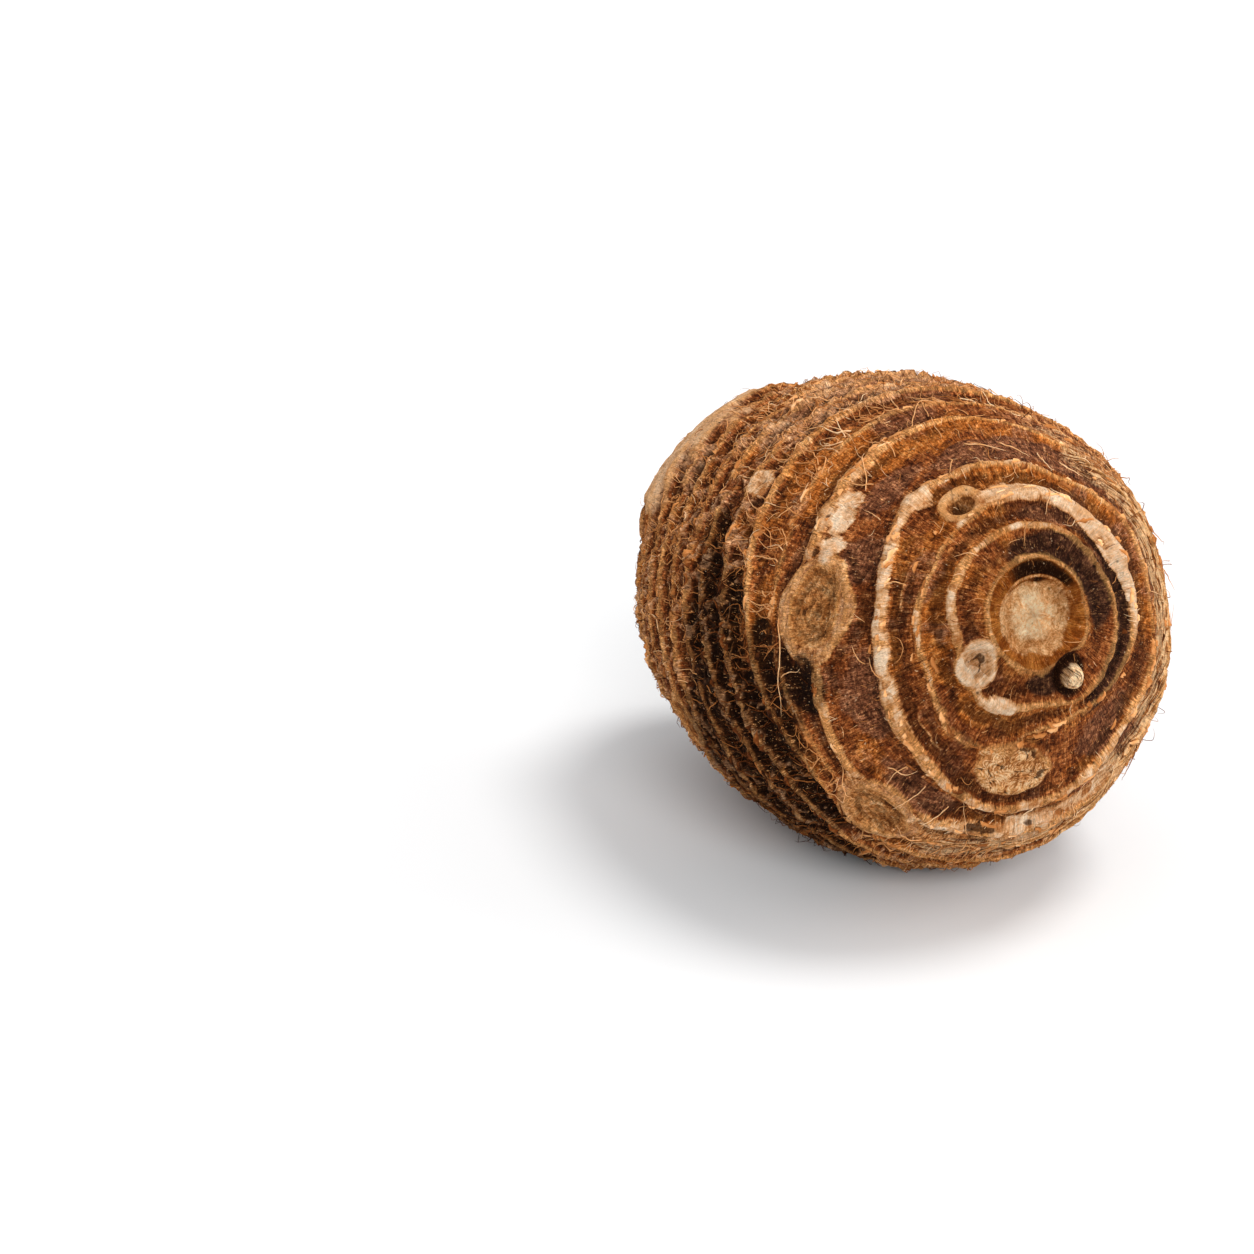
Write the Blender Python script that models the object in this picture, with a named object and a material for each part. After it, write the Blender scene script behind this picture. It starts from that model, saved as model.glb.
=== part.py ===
"""A taro root lying on its side: a squat oval corm ringed by raised leaf scars.

The skin is a surface over two coordinates. "Along" is the distance in millimetres from the
crown, measured over the skin towards the tail. "Round" is the angle in degrees about the
root's own axis, 0 on top and growing clockwise as seen from the crown. Every ring, bud scar
and net wall is a height over that surface. The crown faces -Y and the tail +Y.
"""

import math

import bmesh
import bpy
import numpy as np

MM = 0.001
SEED = 11

# Body, in millimetres and degrees.
LENGTH = 137.0
RADIUS_AT_CROWN = 49.9
RADIUS_AT_TAIL = 45.0
CROWN_UP_DEG = 10.7
BOW_SIDE, BOW_UP = -6.6, 7.5
SKEW_SIDE, SKEW_UP = 2.3, -7.1
OVAL_SHARE, OVAL_AT_DEG = 0.013, -12.0
LUMP_HEIGHT = 0.35

# The flat spot that the root rests on: its height over the smooth body's lowest point, and
# how far above that point the relief is rubbed down.
FLAT_CUT = 1.7
FLAT_SNAP = 0.03
RUBBED_FROM, RUBBED_TO, RUBBED_SHARE = 1.5, 4.5, 0.9

# Distance of each named ring from the crown, at every 30 degrees round from the top.
STEM_RIM = (11.2, 10.3, 9.7, 9.4, 10.0, 8.8, 9.1, 9.1, 9.6, 10.3, 11.1, 11.4)
COLLAR = (18.3, 17.2, 16.2, 17.5, 18.1, 17.6, 15.8, 17.2, 17.2, 16.9, 19.2, 19.2)
SHOULDER_INNER = (26.6, 24.8, 22.9, 23.3, 22.2, 19.9, 20.5, 25.2, 24.5, 24.2, 25.2, 25.8)
SHOULDER_OUTER = (35.2, 32.5, 30.6, 30.6, 31.4, 33.5, 37.3, 35.2, 32.5, 32.6, 34.2, 38.7)
GIRDLE = (55.3, 46.0, 41.0, 41.0, 43.0, 46.0, 45.0, 45.2, 48.3, 48.5, 54.2, 57.7)
HALF_RING = (66.0, 57.5, 51.0, 49.5, 50.5, 53.0, 52.5, 51.8, 53.2, 58.5, 63.5, 67.5)
NET_EDGE = (76.0, 68.0, 60.0, 57.0, 58.0, 60.0, 60.0, 58.5, 58.2, 66.3, 72.9, 77.6)

# Height and half-width of the ridge on each named ring.
NAMED_RINGS = (
    (STEM_RIM, 0.9, 1.1),
    (COLLAR, 0.75, 1.0),
    (SHOULDER_INNER, 0.8, 1.2),
    (SHOULDER_OUTER, 1.2, 1.7),
    (GIRDLE, 1.15, 1.9),
    (HALF_RING, 0.45, 1.1),
    (NET_EDGE, 1.0, 1.5),
)

# The rings from the net's edge to the tail follow by rule.
NET_STEP_FIRST, NET_STEP_LAST = 8.6, 6.6
NET_RING_HEIGHT, NET_RING_WIDTH = 1.05, 1.25
NET_RING_WOBBLE = 1.5
NET_CELL = 8.5
NET_WALL_HEIGHT, NET_WALL_WIDTH = 0.8, 0.95
NET_FLOOR = 0.7
BAND_SAG = 0.45

# A ring's ridge fades and swells on its way round, by this share of its height.
SWELL_NAMED, SWELL_NET = 0.18, 0.5

# The sunken stem scar at the crown.
STEM_PIT_DEPTH = 2.3
STEM_DISC_RADIUS = 6.4
STEM_STEP_AT, STEM_STEP_HEIGHT = 7.4, 0.5

# Tail: the rough disc where the root broke from its parent.
TAIL_DISC_RADIUS = 9.0
TAIL_DISC_DEPTH = 1.4

# Bud scars: along, round, half-width round, half-length along, rim, bowl, steps.
BUD_SCARS = (
    (49.4, 286.5, 10.6, 9.2, 1.1, 1.1, 3),
    (51.2, 222.0, 9.2, 8.2, 1.1, 1.0, 2),
    (14.7, 244.5, 3.8, 3.8, 1.1, 1.2, 1),
    (30.0, 335.0, 4.2, 4.4, 1.1, 2.5, 1),
    (81.0, 314.0, 2.8, 3.6, 0.7, 0.3, 1),
    (60.0, 112.0, 6.4, 7.6, 0.9, 0.9, 2),
    (88.0, 62.0, 5.6, 6.4, 0.9, 1.2, 2),
    (104.0, 248.0, 6.0, 6.8, 0.9, 1.0, 2),
    (131.0, 143.0, 5.0, 5.6, 0.8, 1.1, 1),
    (150.0, 17.0, 5.2, 5.6, 0.9, 1.0, 2),
)

# The callus under the crown, the dried bud beside the stem scar and the pad by the tail.
CALLUS_AT, CALLUS_ROUND, CALLUS_HALF = 28.2, 189.5, (8.3, 6.0)
CALLUS_HEIGHT = 0.8
BUD_AT, BUD_ROUND, BUD_RADIUS, BUD_HEIGHT = 12.6, 151.0, 2.3, 2.6
BUD_MOAT_RADIUS, BUD_MOAT_DEPTH = 4.3, 0.9
PAD_AT, PAD_ROUND, PAD_HALF, PAD_HEIGHT = 126.0, 322.0, (26.0, 20.0), 2.9

# Mesh.
ROWS, COLUMNS = 230, 240
TRIANGLES = 11600

NAME = "corm"
SKIN_COLOUR = (0.19, 0.085, 0.035, 1.0)
SKIN_ROUGHNESS = 0.85


def clear_scene():
    for item in list(bpy.data.objects):
        bpy.data.objects.remove(item, do_unlink=True)


def body_radius(share):
    taper = RADIUS_AT_CROWN + (RADIUS_AT_TAIL - RADIUS_AT_CROWN) * share
    return np.sin(np.pi * share) * taper


def body_station(share):
    return LENGTH * (1 - np.cos(np.pi * share)) / 2


SHARES = np.linspace(0, 1, 4001)
SKIN_LENGTHS = np.concatenate(
    [[0], np.cumsum(np.hypot(np.diff(body_radius(SHARES)), np.diff(body_station(SHARES))))]
)
SKIN_TOTAL = float(SKIN_LENGTHS[-1])


def body_point(along, around):
    """Points of the smooth body, in millimetres about its centre. The angle is in radians."""
    share = np.interp(along, SKIN_LENGTHS, SHARES)
    station = body_station(share)
    oval = 1 + OVAL_SHARE * np.cos(2 * (around - math.radians(OVAL_AT_DEG)))
    radius = body_radius(share) * oval
    reach = 2 * station / LENGTH - 1
    bow, skew = reach**2 - 0.4, reach**3 - 0.6 * reach
    side = radius * np.sin(around) + BOW_SIDE * bow + SKEW_SIDE * skew
    up = radius * np.cos(around) + BOW_UP * bow + SKEW_UP * skew
    forward = LENGTH / 2 - station
    lean = math.radians(CROWN_UP_DEG)
    y = -math.cos(lean) * forward + math.sin(lean) * up
    z = math.sin(lean) * forward + math.cos(lean) * up
    return np.stack([side, y, z], axis=-1)


def body_normal(along, around):
    near, far = np.maximum(along - 0.4, 0.3), np.minimum(along + 0.4, SKIN_TOTAL - 0.3)
    down = body_point(far, around) - body_point(near, around)
    across = body_point(along, around + 0.01) - body_point(along, around - 0.01)
    normal = np.cross(across, down)
    return normal / np.linalg.norm(normal, axis=-1, keepdims=True)


def bump(distance, width):
    return np.exp(-((distance / width) ** 2))


def ease(value, low, high):
    share = np.clip((value - low) / (high - low), 0, 1)
    return share * share * (3 - 2 * share)


def named_line(values, degrees):
    """A named ring's distance from the crown, smoothly round from its twelve values."""
    ends = np.fft.rfft(np.array(values))
    turns = np.arange(len(ends))
    doubled = np.where((turns == 0) | (turns == len(ends) - 1), 1.0, 2.0)
    angles = np.radians(degrees)[..., None] * turns
    waves = ends.real * np.cos(angles) - ends.imag * np.sin(angles)
    return (waves * doubled).sum(axis=-1) / len(values)


def net_lines(degrees, draws):
    """The rings between the net's edge and the tail, each a little closer than the last."""
    edge = named_line(NET_EDGE, degrees)
    lines = []
    at = float(np.mean(NET_EDGE))
    step = NET_STEP_FIRST
    while at + step < SKIN_TOTAL - TAIL_DISC_RADIUS - 2:
        at += step
        fade = 1 - ease(at, 70, 150)
        wobble = np.zeros_like(degrees)
        for turns in (2, 3, 5):
            phase = draws.uniform(0, 2 * np.pi)
            wobble += draws.uniform(0.3, 1.0) / turns * np.cos(np.radians(degrees) * turns + phase)
        lines.append(at + (edge - np.mean(NET_EDGE)) * fade + NET_RING_WOBBLE * wobble)
        step += (NET_STEP_LAST - NET_STEP_FIRST) / 16
    return lines


def swell(degrees, share, draws):
    """A factor of about one that varies smoothly on the way round a ring."""
    factor = np.ones_like(degrees)
    for turns in (3, 5, 8):
        phase = draws.uniform(0, 2 * np.pi)
        factor += share * draws.uniform(0.3, 0.7) * np.cos(np.radians(degrees) * turns + phase)
    return np.maximum(factor, 0.15)


def ring_lines(degrees, draws):
    """Every ring as (distances from the crown, heights, half-width)."""
    lines = []
    for values, height, width in NAMED_RINGS:
        heights = height * swell(degrees, SWELL_NAMED, draws)
        lines.append((named_line(values, degrees), heights, width))
    for line in net_lines(degrees, draws):
        heights = NET_RING_HEIGHT * swell(degrees, SWELL_NET, draws)
        lines.append((line, heights, NET_RING_WIDTH))
    return lines


def ring_relief(along, rings):
    """Raised ring lines with the bands between them sagging a little."""
    height = np.zeros_like(along)
    for line, rise, width in rings:
        height = np.maximum(height, rise * bump(along - line, width))
    for (first, _, _), (second, _, _) in zip(rings[:-1], rings[1:]):
        share = np.clip((along - first) / (second - first), 0, 1)
        height -= BAND_SAG * np.sin(np.pi * share) ** 2
    return height


def net_relief(along, degrees, radius, rings, draws):
    """Walls across the bands beyond the net's edge, with sunken cells between them."""
    height = np.zeros_like(along)
    first_net = len(NAMED_RINGS) - 1
    for (first, _, _), (second, _, _) in zip(rings[first_net:-1], rings[first_net + 1 :]):
        share = (along - first) / (second - first)
        inside = np.sin(np.pi * np.clip(share, 0, 1))
        reach = float(np.mean(radius[np.abs(share - 0.5) < 0.2]))
        count = max(8, round(2 * np.pi * reach / NET_CELL))
        walls = np.zeros_like(along)
        for step in range(count):
            at = (step + draws.uniform(-0.3, 0.3)) * 360 / count
            slant = draws.uniform(-0.8, 0.8) * 360 / count
            rise = draws.uniform(0.2, 1.0)
            away = (degrees - at - slant * (share - 0.5) + 180) % 360 - 180
            walls = np.maximum(walls, rise * bump(np.radians(away) * radius, NET_WALL_WIDTH))
        height += inside**0.6 * (NET_WALL_HEIGHT + NET_FLOOR) * walls - inside * NET_FLOOR
    return height


def stem_relief(along, rim):
    """The crown's pit: a flat disc, a step in its wall, and the rise to the rim."""
    share = np.clip(along / rim, 0, 1)
    wall = ease(share, STEM_DISC_RADIUS / 10.2, 1.0)
    step = STEM_STEP_HEIGHT * bump(along - STEM_STEP_AT, 0.6)
    return (wall - 1) * STEM_PIT_DEPTH + step * (1 - ease(share, 0.8, 1.0))


def tail_relief(along, degrees):
    left = SKIN_TOTAL - along
    edge = TAIL_DISC_RADIUS + 0.9 * np.cos(np.radians(3 * degrees + 40))
    bowl = -TAIL_DISC_DEPTH * (1 - ease(left, edge * 0.45, edge))
    return bowl + 0.9 * bump(left - edge - 0.8, 1.3)


def place(along, degrees, radius, at, round_at):
    """Distances in millimetres from a spot on the skin: (round, along)."""
    away = (degrees - round_at + 180) % 360 - 180
    return np.radians(away) * radius, along - at


def scar_relief(x, y, half_round, half_along, rim, bowl, steps):
    """(height, share of the ring relief that it hides) of a rimmed, stepped bud scar."""
    out = np.hypot(x / half_round, y / half_along)
    across = 1.1 / min(half_round, half_along)
    height = rim * bump(out - 1, 1.1 * across)
    height = height - bowl * (1 - ease(out, 0.0, 0.95))
    for step in range(1, steps):
        height = height + 0.35 * bump(out - step / steps, 0.7 * across)
    return height, 1 - ease(out, 1.0, 1.35)


def bud_relief(x, y):
    out = np.hypot(x, y)
    dome = BUD_HEIGHT * np.sqrt(np.clip(1 - (out / BUD_RADIUS) ** 2, 0, 1))
    moat = -BUD_MOAT_DEPTH * bump(out - BUD_RADIUS - 0.6, 1.0)
    return dome + moat, 1 - ease(out, BUD_MOAT_RADIUS * 0.8, BUD_MOAT_RADIUS * 1.2)


def callus_relief(x, y):
    out = np.hypot(x / CALLUS_HALF[0], y / CALLUS_HALF[1])
    rough = 0.3 * np.cos(1.3 * x + 0.6 * y) * np.cos(1.1 * y - 0.5 * x)
    plate = CALLUS_HEIGHT * (1 - ease(out, 0.85, 1.1))
    return plate + rough * (1 - ease(out, 0.7, 1.0)), 1 - ease(out, 0.9, 1.15)


def lumps(along, degrees, draws):
    height = np.zeros_like(along)
    for turns in (2, 3, 4, 6, 7):
        waves = draws.uniform(1.5, 6.0)
        phase = draws.uniform(0, 2 * np.pi)
        across = np.cos(np.radians(degrees) * turns + phase)
        height += across * np.sin(np.pi * waves * along / SKIN_TOTAL) ** 2
    return LUMP_HEIGHT * height / 2


def skin_height(along, degrees, radius):
    """Height in millimetres of the skin over the smooth body."""
    draws = np.random.default_rng(SEED)
    rings = ring_lines(degrees, draws)
    height = ring_relief(along, rings)
    height += net_relief(along, degrees, radius, rings, draws)
    height += stem_relief(along, rings[0][0])
    height += tail_relief(along, degrees)
    for at, round_at, half_round, half_along, rim, bowl, steps in BUD_SCARS:
        x, y = place(along, degrees, radius, at, round_at)
        scar, hides = scar_relief(x, y, half_round, half_along, rim, bowl, steps)
        height = height * (1 - hides) + scar
    x, y = place(along, degrees, radius, BUD_AT, BUD_ROUND)
    bud, hides = bud_relief(x, y)
    height = height * (1 - hides) + bud
    x, y = place(along, degrees, radius, CALLUS_AT, CALLUS_ROUND)
    callus, hides = callus_relief(x, y)
    height = height * (1 - hides) + callus
    x, y = place(along, degrees, radius, PAD_AT, PAD_ROUND)
    pad = 1 - ease(np.hypot(x / PAD_HALF[0], y / PAD_HALF[1]), 0.45, 1.0)
    height = height * (1 - 0.7 * pad) + PAD_HEIGHT * pad
    return height + lumps(along, degrees, draws)


def settled(points, level):
    """Points with everything under the level flattened onto z = 0, and their box centred."""
    points = points - np.array([0, 0, level])
    points[..., 2] = np.where(points[..., 2] < FLAT_SNAP, 0, points[..., 2])
    flat = points.reshape(-1, 3)
    middle = (flat.min(axis=0) + flat.max(axis=0)) / 2
    return points - np.array([middle[0], middle[1], 0])


def skin_grid():
    """Rows of points from just below the crown to just above the tail, in millimetres."""
    along = np.linspace(0.6, SKIN_TOTAL - 0.6, ROWS)
    degrees = np.arange(COLUMNS) * 360 / COLUMNS
    along, degrees = np.meshgrid(along, degrees, indexing="ij")
    around = np.radians(degrees)
    radius = np.maximum(body_radius(np.interp(along, SKIN_LENGTHS, SHARES)), 0.5)
    smooth = body_point(along, around)
    lowest = smooth[..., 2].min()
    rubbed = 1 - ease(smooth[..., 2] - lowest, RUBBED_FROM, RUBBED_TO)
    height = skin_height(along, degrees, radius) * (1 - RUBBED_SHARE * rubbed)
    points = smooth + body_normal(along, around) * height[..., None]
    return settled(points, lowest + FLAT_CUT)


def closed_mesh(points):
    """Quads between the rows, and a fan of triangles onto a point at each end."""
    rows, columns, _ = points.shape
    ends = np.stack([points[0].mean(axis=0), points[-1].mean(axis=0)])
    vertices = np.concatenate([points.reshape(-1, 3), ends]) * MM
    faces = []
    for row in range(rows - 1):
        for column in range(columns):
            here, right = row * columns + column, row * columns + (column + 1) % columns
            faces.append((here, right, right + columns, here + columns))
    crown, tail = rows * columns, rows * columns + 1
    last = (rows - 1) * columns
    for column in range(columns):
        right = (column + 1) % columns
        faces.append((crown, right, column))
        faces.append((tail, last + column, last + right))
    mesh = bpy.data.meshes.new(NAME + "_grid")
    mesh.from_pydata([tuple(v) for v in vertices], [], faces)
    mesh.update()
    return mesh


def face_outwards(mesh):
    shape = bmesh.new()
    shape.from_mesh(mesh)
    bmesh.ops.triangulate(shape, faces=list(shape.faces))
    if shape.calc_volume(signed=True) < 0:
        bmesh.ops.reverse_faces(shape, faces=list(shape.faces))
    shape.to_mesh(mesh)
    shape.free()


def thinned(mesh):
    """The mesh with fewer triangles, kept where the relief is sharp."""
    item = bpy.data.objects.new(NAME + "_grid", mesh)
    bpy.context.scene.collection.objects.link(item)
    fewer = item.modifiers.new("fewer", "DECIMATE")
    fewer.ratio = TRIANGLES / len(mesh.polygons)
    graph = bpy.context.evaluated_depsgraph_get()
    result = bpy.data.meshes.new_from_object(item.evaluated_get(graph))
    bpy.data.objects.remove(item, do_unlink=True)
    return result


def squared_up(mesh):
    """Puts back on z = 0, and over the origin, what the thinning moved by a hair."""
    points = np.empty(len(mesh.vertices) * 3)
    mesh.vertices.foreach_get("co", points)
    points = settled(points.reshape(-1, 3) / MM, 0) * MM
    mesh.vertices.foreach_set("co", points.reshape(-1))
    mesh.update()


def skin_material():
    material = bpy.data.materials.new("taro_skin")
    material.use_nodes = True
    shader = material.node_tree.nodes["Principled BSDF"]
    shader.inputs["Base Color"].default_value = SKIN_COLOUR
    shader.inputs["Roughness"].default_value = SKIN_ROUGHNESS
    return material


def build():
    clear_scene()
    grid = closed_mesh(skin_grid())
    face_outwards(grid)
    mesh = thinned(grid)
    squared_up(mesh)
    mesh.name = NAME
    mesh.shade_smooth()
    mesh.materials.clear()
    mesh.materials.append(skin_material())
    corm = bpy.data.objects.new(NAME, mesh)
    bpy.context.scene.collection.objects.link(corm)


build()
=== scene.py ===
"""A taro root on a pale floor: fine skin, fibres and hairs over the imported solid.

The skin is a surface over two coordinates, as in the solid: "along", millimetres over the
skin from the crown, and "round", degrees about the root's own axis, 0 on top and clockwise
as seen from the crown. Heights and colour fields are worked out for any such spot.
"""

import math

import bpy
import numpy as np
from mathutils import Matrix, Vector


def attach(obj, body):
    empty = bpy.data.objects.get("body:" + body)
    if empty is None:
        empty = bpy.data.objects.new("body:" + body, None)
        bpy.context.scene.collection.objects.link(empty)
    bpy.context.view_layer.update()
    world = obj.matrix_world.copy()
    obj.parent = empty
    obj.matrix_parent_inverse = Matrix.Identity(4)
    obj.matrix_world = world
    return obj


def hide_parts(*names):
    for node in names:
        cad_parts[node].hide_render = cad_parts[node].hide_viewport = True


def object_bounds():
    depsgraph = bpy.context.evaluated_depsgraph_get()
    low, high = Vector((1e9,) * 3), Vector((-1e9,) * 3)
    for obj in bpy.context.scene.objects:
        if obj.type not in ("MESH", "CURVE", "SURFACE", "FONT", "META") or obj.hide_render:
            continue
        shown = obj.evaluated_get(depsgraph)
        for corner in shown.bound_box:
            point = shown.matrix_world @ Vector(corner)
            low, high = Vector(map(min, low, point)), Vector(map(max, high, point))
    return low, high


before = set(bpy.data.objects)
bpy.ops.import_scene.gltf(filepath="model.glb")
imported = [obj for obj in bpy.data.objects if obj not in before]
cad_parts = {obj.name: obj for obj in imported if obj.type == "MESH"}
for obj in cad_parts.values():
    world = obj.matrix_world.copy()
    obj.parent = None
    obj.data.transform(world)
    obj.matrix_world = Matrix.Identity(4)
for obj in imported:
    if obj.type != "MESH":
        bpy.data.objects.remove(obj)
CAD_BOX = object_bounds()

MM = 0.001
SEED = 11

# The solid's own values, in millimetres and degrees.
LENGTH = 137.0
RADIUS_AT_CROWN = 49.9
RADIUS_AT_TAIL = 45.0
CROWN_UP_DEG = 10.7
BOW_SIDE, BOW_UP = -6.6, 7.5
SKEW_SIDE, SKEW_UP = 2.3, -7.1
OVAL_SHARE, OVAL_AT_DEG = 0.013, -12.0
LUMP_HEIGHT = 0.35
BODY_CENTRE = (-2.352, 0.0155, 48.830)
RUBBED_FROM, RUBBED_TO, RUBBED_SHARE = 1.5, 4.5, 0.9

STEM_RIM = (11.2, 10.3, 9.7, 9.4, 10, 8.8, 9.1, 9.1, 9.6, 10.3, 11.1, 11.4)
COLLAR = (18.3, 17.2, 16.2, 17.5, 18.1, 17.6, 15.8, 17.2, 17.2, 16.9, 19.2, 19.2)
SHOULDER_INNER = (26.6, 24.8, 22.9, 23.3, 22.2, 19.9, 20.5, 25.2, 24.5, 24.2, 25.2, 25.8)
SHOULDER_OUTER = (35.2, 32.5, 30.6, 30.6, 31.4, 33.5, 37.3, 35.2, 32.5, 32.6, 34.2, 38.7)
GIRDLE = (55.3, 46, 41, 41, 43, 46, 45, 45.2, 48.3, 48.5, 54.2, 57.7)
HALF_RING = (66, 57.5, 51, 49.5, 50.5, 53, 52.5, 51.8, 53.2, 58.5, 63.5, 67.5)
NET_EDGE = (76, 68, 60, 57, 58, 60, 60, 58.5, 58.2, 66.3, 72.9, 77.6)
NAMED_RINGS = (
    (STEM_RIM, 0.9, 1.1),
    (COLLAR, 0.75, 1),
    (SHOULDER_INNER, 0.8, 1.2),
    (SHOULDER_OUTER, 1.2, 1.7),
    (GIRDLE, 1.15, 1.9),
    (HALF_RING, 0.45, 1.1),
    (NET_EDGE, 1, 1.5),
)
NET_STEP_FIRST, NET_STEP_LAST = 8.6, 6.6
NET_RING_HEIGHT, NET_RING_WIDTH = 1.05, 1.25
NET_RING_WOBBLE = 1.5
NET_CELL = 8.5
NET_WALL_HEIGHT, NET_WALL_WIDTH = 0.8, 0.95
NET_FLOOR = 0.7
BAND_SAG = 0.45
SWELL_NAMED, SWELL_NET = 0.18, 0.5
STEM_PIT_DEPTH = 2.3
STEM_DISC_RADIUS = 6.4
STEM_STEP_AT, STEM_STEP_HEIGHT = 7.4, 0.5
TAIL_DISC_RADIUS = 9
TAIL_DISC_DEPTH = 1.4
BUD_SCARS = (
    (49.4, 286.5, 10.6, 9.2, 1.1, 1.1, 3),
    (51.2, 222, 9.2, 8.2, 1.1, 1, 2),
    (14.7, 244.5, 3.8, 3.8, 1.1, 1.2, 1),
    (30, 335, 4.2, 4.4, 1.1, 2.5, 1),
    (81, 314, 2.8, 3.6, 0.7, 0.3, 1),
    (60, 112, 6.4, 7.6, 0.9, 0.9, 2),
    (88, 62, 5.6, 6.4, 0.9, 1.2, 2),
    (104, 248, 6, 6.8, 0.9, 1, 2),
    (131, 143, 5, 5.6, 0.8, 1.1, 1),
    (150, 17, 5.2, 5.6, 0.9, 1, 2),
)
CALLUS_AT, CALLUS_ROUND, CALLUS_HALF = 28.2, 189.5, (8.3, 6)
CALLUS_HEIGHT = 0.8
BUD_AT, BUD_ROUND, BUD_RADIUS, BUD_HEIGHT = 12.6, 151, 2.3, 2.6
BUD_MOAT_RADIUS, BUD_MOAT_DEPTH = 4.3, 0.9
PAD_AT, PAD_ROUND, PAD_HALF, PAD_HEIGHT = 126, 322, (26, 20), 2.9

# The pale disc in the crown's pit: its edge at every 30 degrees round.
DISC_EDGE = (6.5, 7, 7.3, 7.2, 7.2, 7.6, 7.2, 7.4, 7.9, 8.1, 7.7, 7)

# How each named ring looks, at every 30 degrees round: half-width of its pale line, and how
# much of that is bare cream cork. All the net's rings look alike.
RING_LOOKS = (
    ((0.5, 0.4, 0.4, 0.4, 0.45, 0.5, 0.45, 0.4, 0.45, 0.5, 0.5, 0.5), (0.25,) * 12),
    (
        (0.8, 0.6, 0.5, 0.45, 0.4, 0.4, 0.45, 1.2, 0.6, 1.1, 1.2, 0.8),
        (0.7, 0.5, 0.4, 0.3, 0.1, 0.1, 0.05, 0.85, 0.5, 0.85, 0.85, 0.5),
    ),
    (
        (1.8, 1.4, 1.3, 1.1, 0.5, 0.35, 0.3, 0.35, 0.4, 0.5, 0.4, 0.5),
        (1, 1, 1, 0.85, 0.3, 0.1, 0, 0.1, 0.4, 0.8, 0.3, 0.2),
    ),
    (
        (0.7, 0.5, 0.5, 0.5, 1, 1.5, 1.3, 1.2, 1.7, 2, 2, 1.5),
        (0.45, 0.35, 0.4, 0.4, 0.4, 0.6, 0.7, 0.5, 0.6, 0.85, 0.9, 0.9),
    ),
    (
        (0.7, 0.5, 0.5, 0.6, 0.9, 1.8, 2.4, 2.2, 1.6, 1.7, 3.2, 1.9),
        (0, 0.1, 0.2, 0.3, 0.3, 0.5, 0.4, 0.5, 0.4, 0.4, 0.75, 0.3),
    ),
    (
        (0.9, 0.5, 0.4, 0.4, 0.4, 0.5, 0.5, 0.4, 0.4, 0.3, 0.3, 0.7),
        (0.2, 0.2, 0.2, 0.2, 0.2, 0.3, 0.3, 0.3, 0.6, 0.6, 0.1, 0.2),
    ),
    (
        (1.1, 0.7, 0.6, 0.6, 0.7, 0.8, 0.7, 0.6, 0.4, 0.5, 1, 1.6),
        (0.2, 0.15, 0.15, 0.2, 0.3, 0.4, 0.3, 0.2, 0.15, 0.2, 0.3, 0.4),
    ),
)
NET_LOOK = (0.5, 0.25)

# The broad pale shoulder round the crown, at every 30 degrees round: how far its cream reaches
# from the inner ring towards the outer one, as a share of the way, and how far the other way,
# in millimetres.
SHOULDER_CREAM = (0.34, 0.22, 0.2, 0.16, 0, 0, 0, 0, 0, 0, 0, 0.1)
SHOULDER_INWARD = (0.8, 2.8, 3.2, 1, 0.2, 0.2, 0.2, 0.2, 0.2, 0.2, 0.2, 0.3)

# The net's rings are lower in the fine skin than in the solid, by this share. Its small cells
# are this wide.
NET_RING_SHARE = 0.5
CELL = 3.4

# Thin paper edges that run beside a ring: ring number, distance past it, middle and half-width
# round in degrees, strength.
LAYER_EDGES = (
    (3, 2.7, 75, 75, 0.9),
    (3, 8, 60, 60, 0.7),
    (4, 2.4, 80, 75, 0.9),
    (4, 7.6, 60, 60, 0.7),
    (5, 2.8, 80, 80, 0.8),
    (2, 4.2, 262, 50, 0.9),
    (1, -2.8, 235, 22, 0.5),
    (4, -4.5, 175, 28, 0.9),
    (4, 4.8, 178, 30, 1),
    (4, 3.4, 345, 30, 0.6),
    (5, 4.6, 350, 40, 0.6),
)

# Soft zones of skin colour: along, round, half-width along, half-width round in mm, strength.
CHARCOAL_ZONES = (
    (13.8, 35, 4.2, 13, 1.1),
    (14, 75, 3.6, 8, 1),
    (13.5, 0, 3.4, 7, 0.8),
    (20.3, 112, 3, 15, 1),
    (20, 70, 3, 12, 0.8),
    (12, 172, 2.5, 5, 0.8),
    (29, 118, 3, 12, 0.5),
)
PURPLE_ZONES = (
    (42.5, 3, 6.5, 16, 1.1),
    (41, 25, 5, 14, 0.9),
    (47, 325, 4, 8, 0.8),
    (66, 345, 6, 9, 0.7),
    (41, 302, 6.5, 6, 0.9),
    (28, 145, 5, 9, 0.8),
    (38, 120, 5, 30, 0.8),
    (40, 75, 5, 30, 0.6),
    (40, 218, 4, 10, 0.8),
    (22, 20, 2.8, 14, 0.8),
    (38, 258, 6, 9, 0.8),
    (26, 300, 4.5, 7, 0.6),
    (25, 240, 3.5, 6, 0.5),
    (57, 300, 4, 6, 0.5),
)
ORANGE_ZONES = (
    (31, 25, 3.6, 20, 1.1),
    (28.5, 60, 3, 14, 1.1),
    (49, 20, 4, 20, 0.8),
    (66, 325, 9, 14, 1),
    (55, 345, 5, 16, 0.8),
    (22, 285, 3, 9, 0.9),
    (31, 275, 3, 9, 0.6),
    (64, 283, 5, 9, 0.8),
    (19.5, 255, 4, 6, 1),
    (20, 222, 3, 6, 0.8),
    (31, 140, 2.5, 14, 0.9),
    (34, 100, 2, 16, 0.7),
    (42, 238, 3, 6, 0.6),
)
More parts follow.
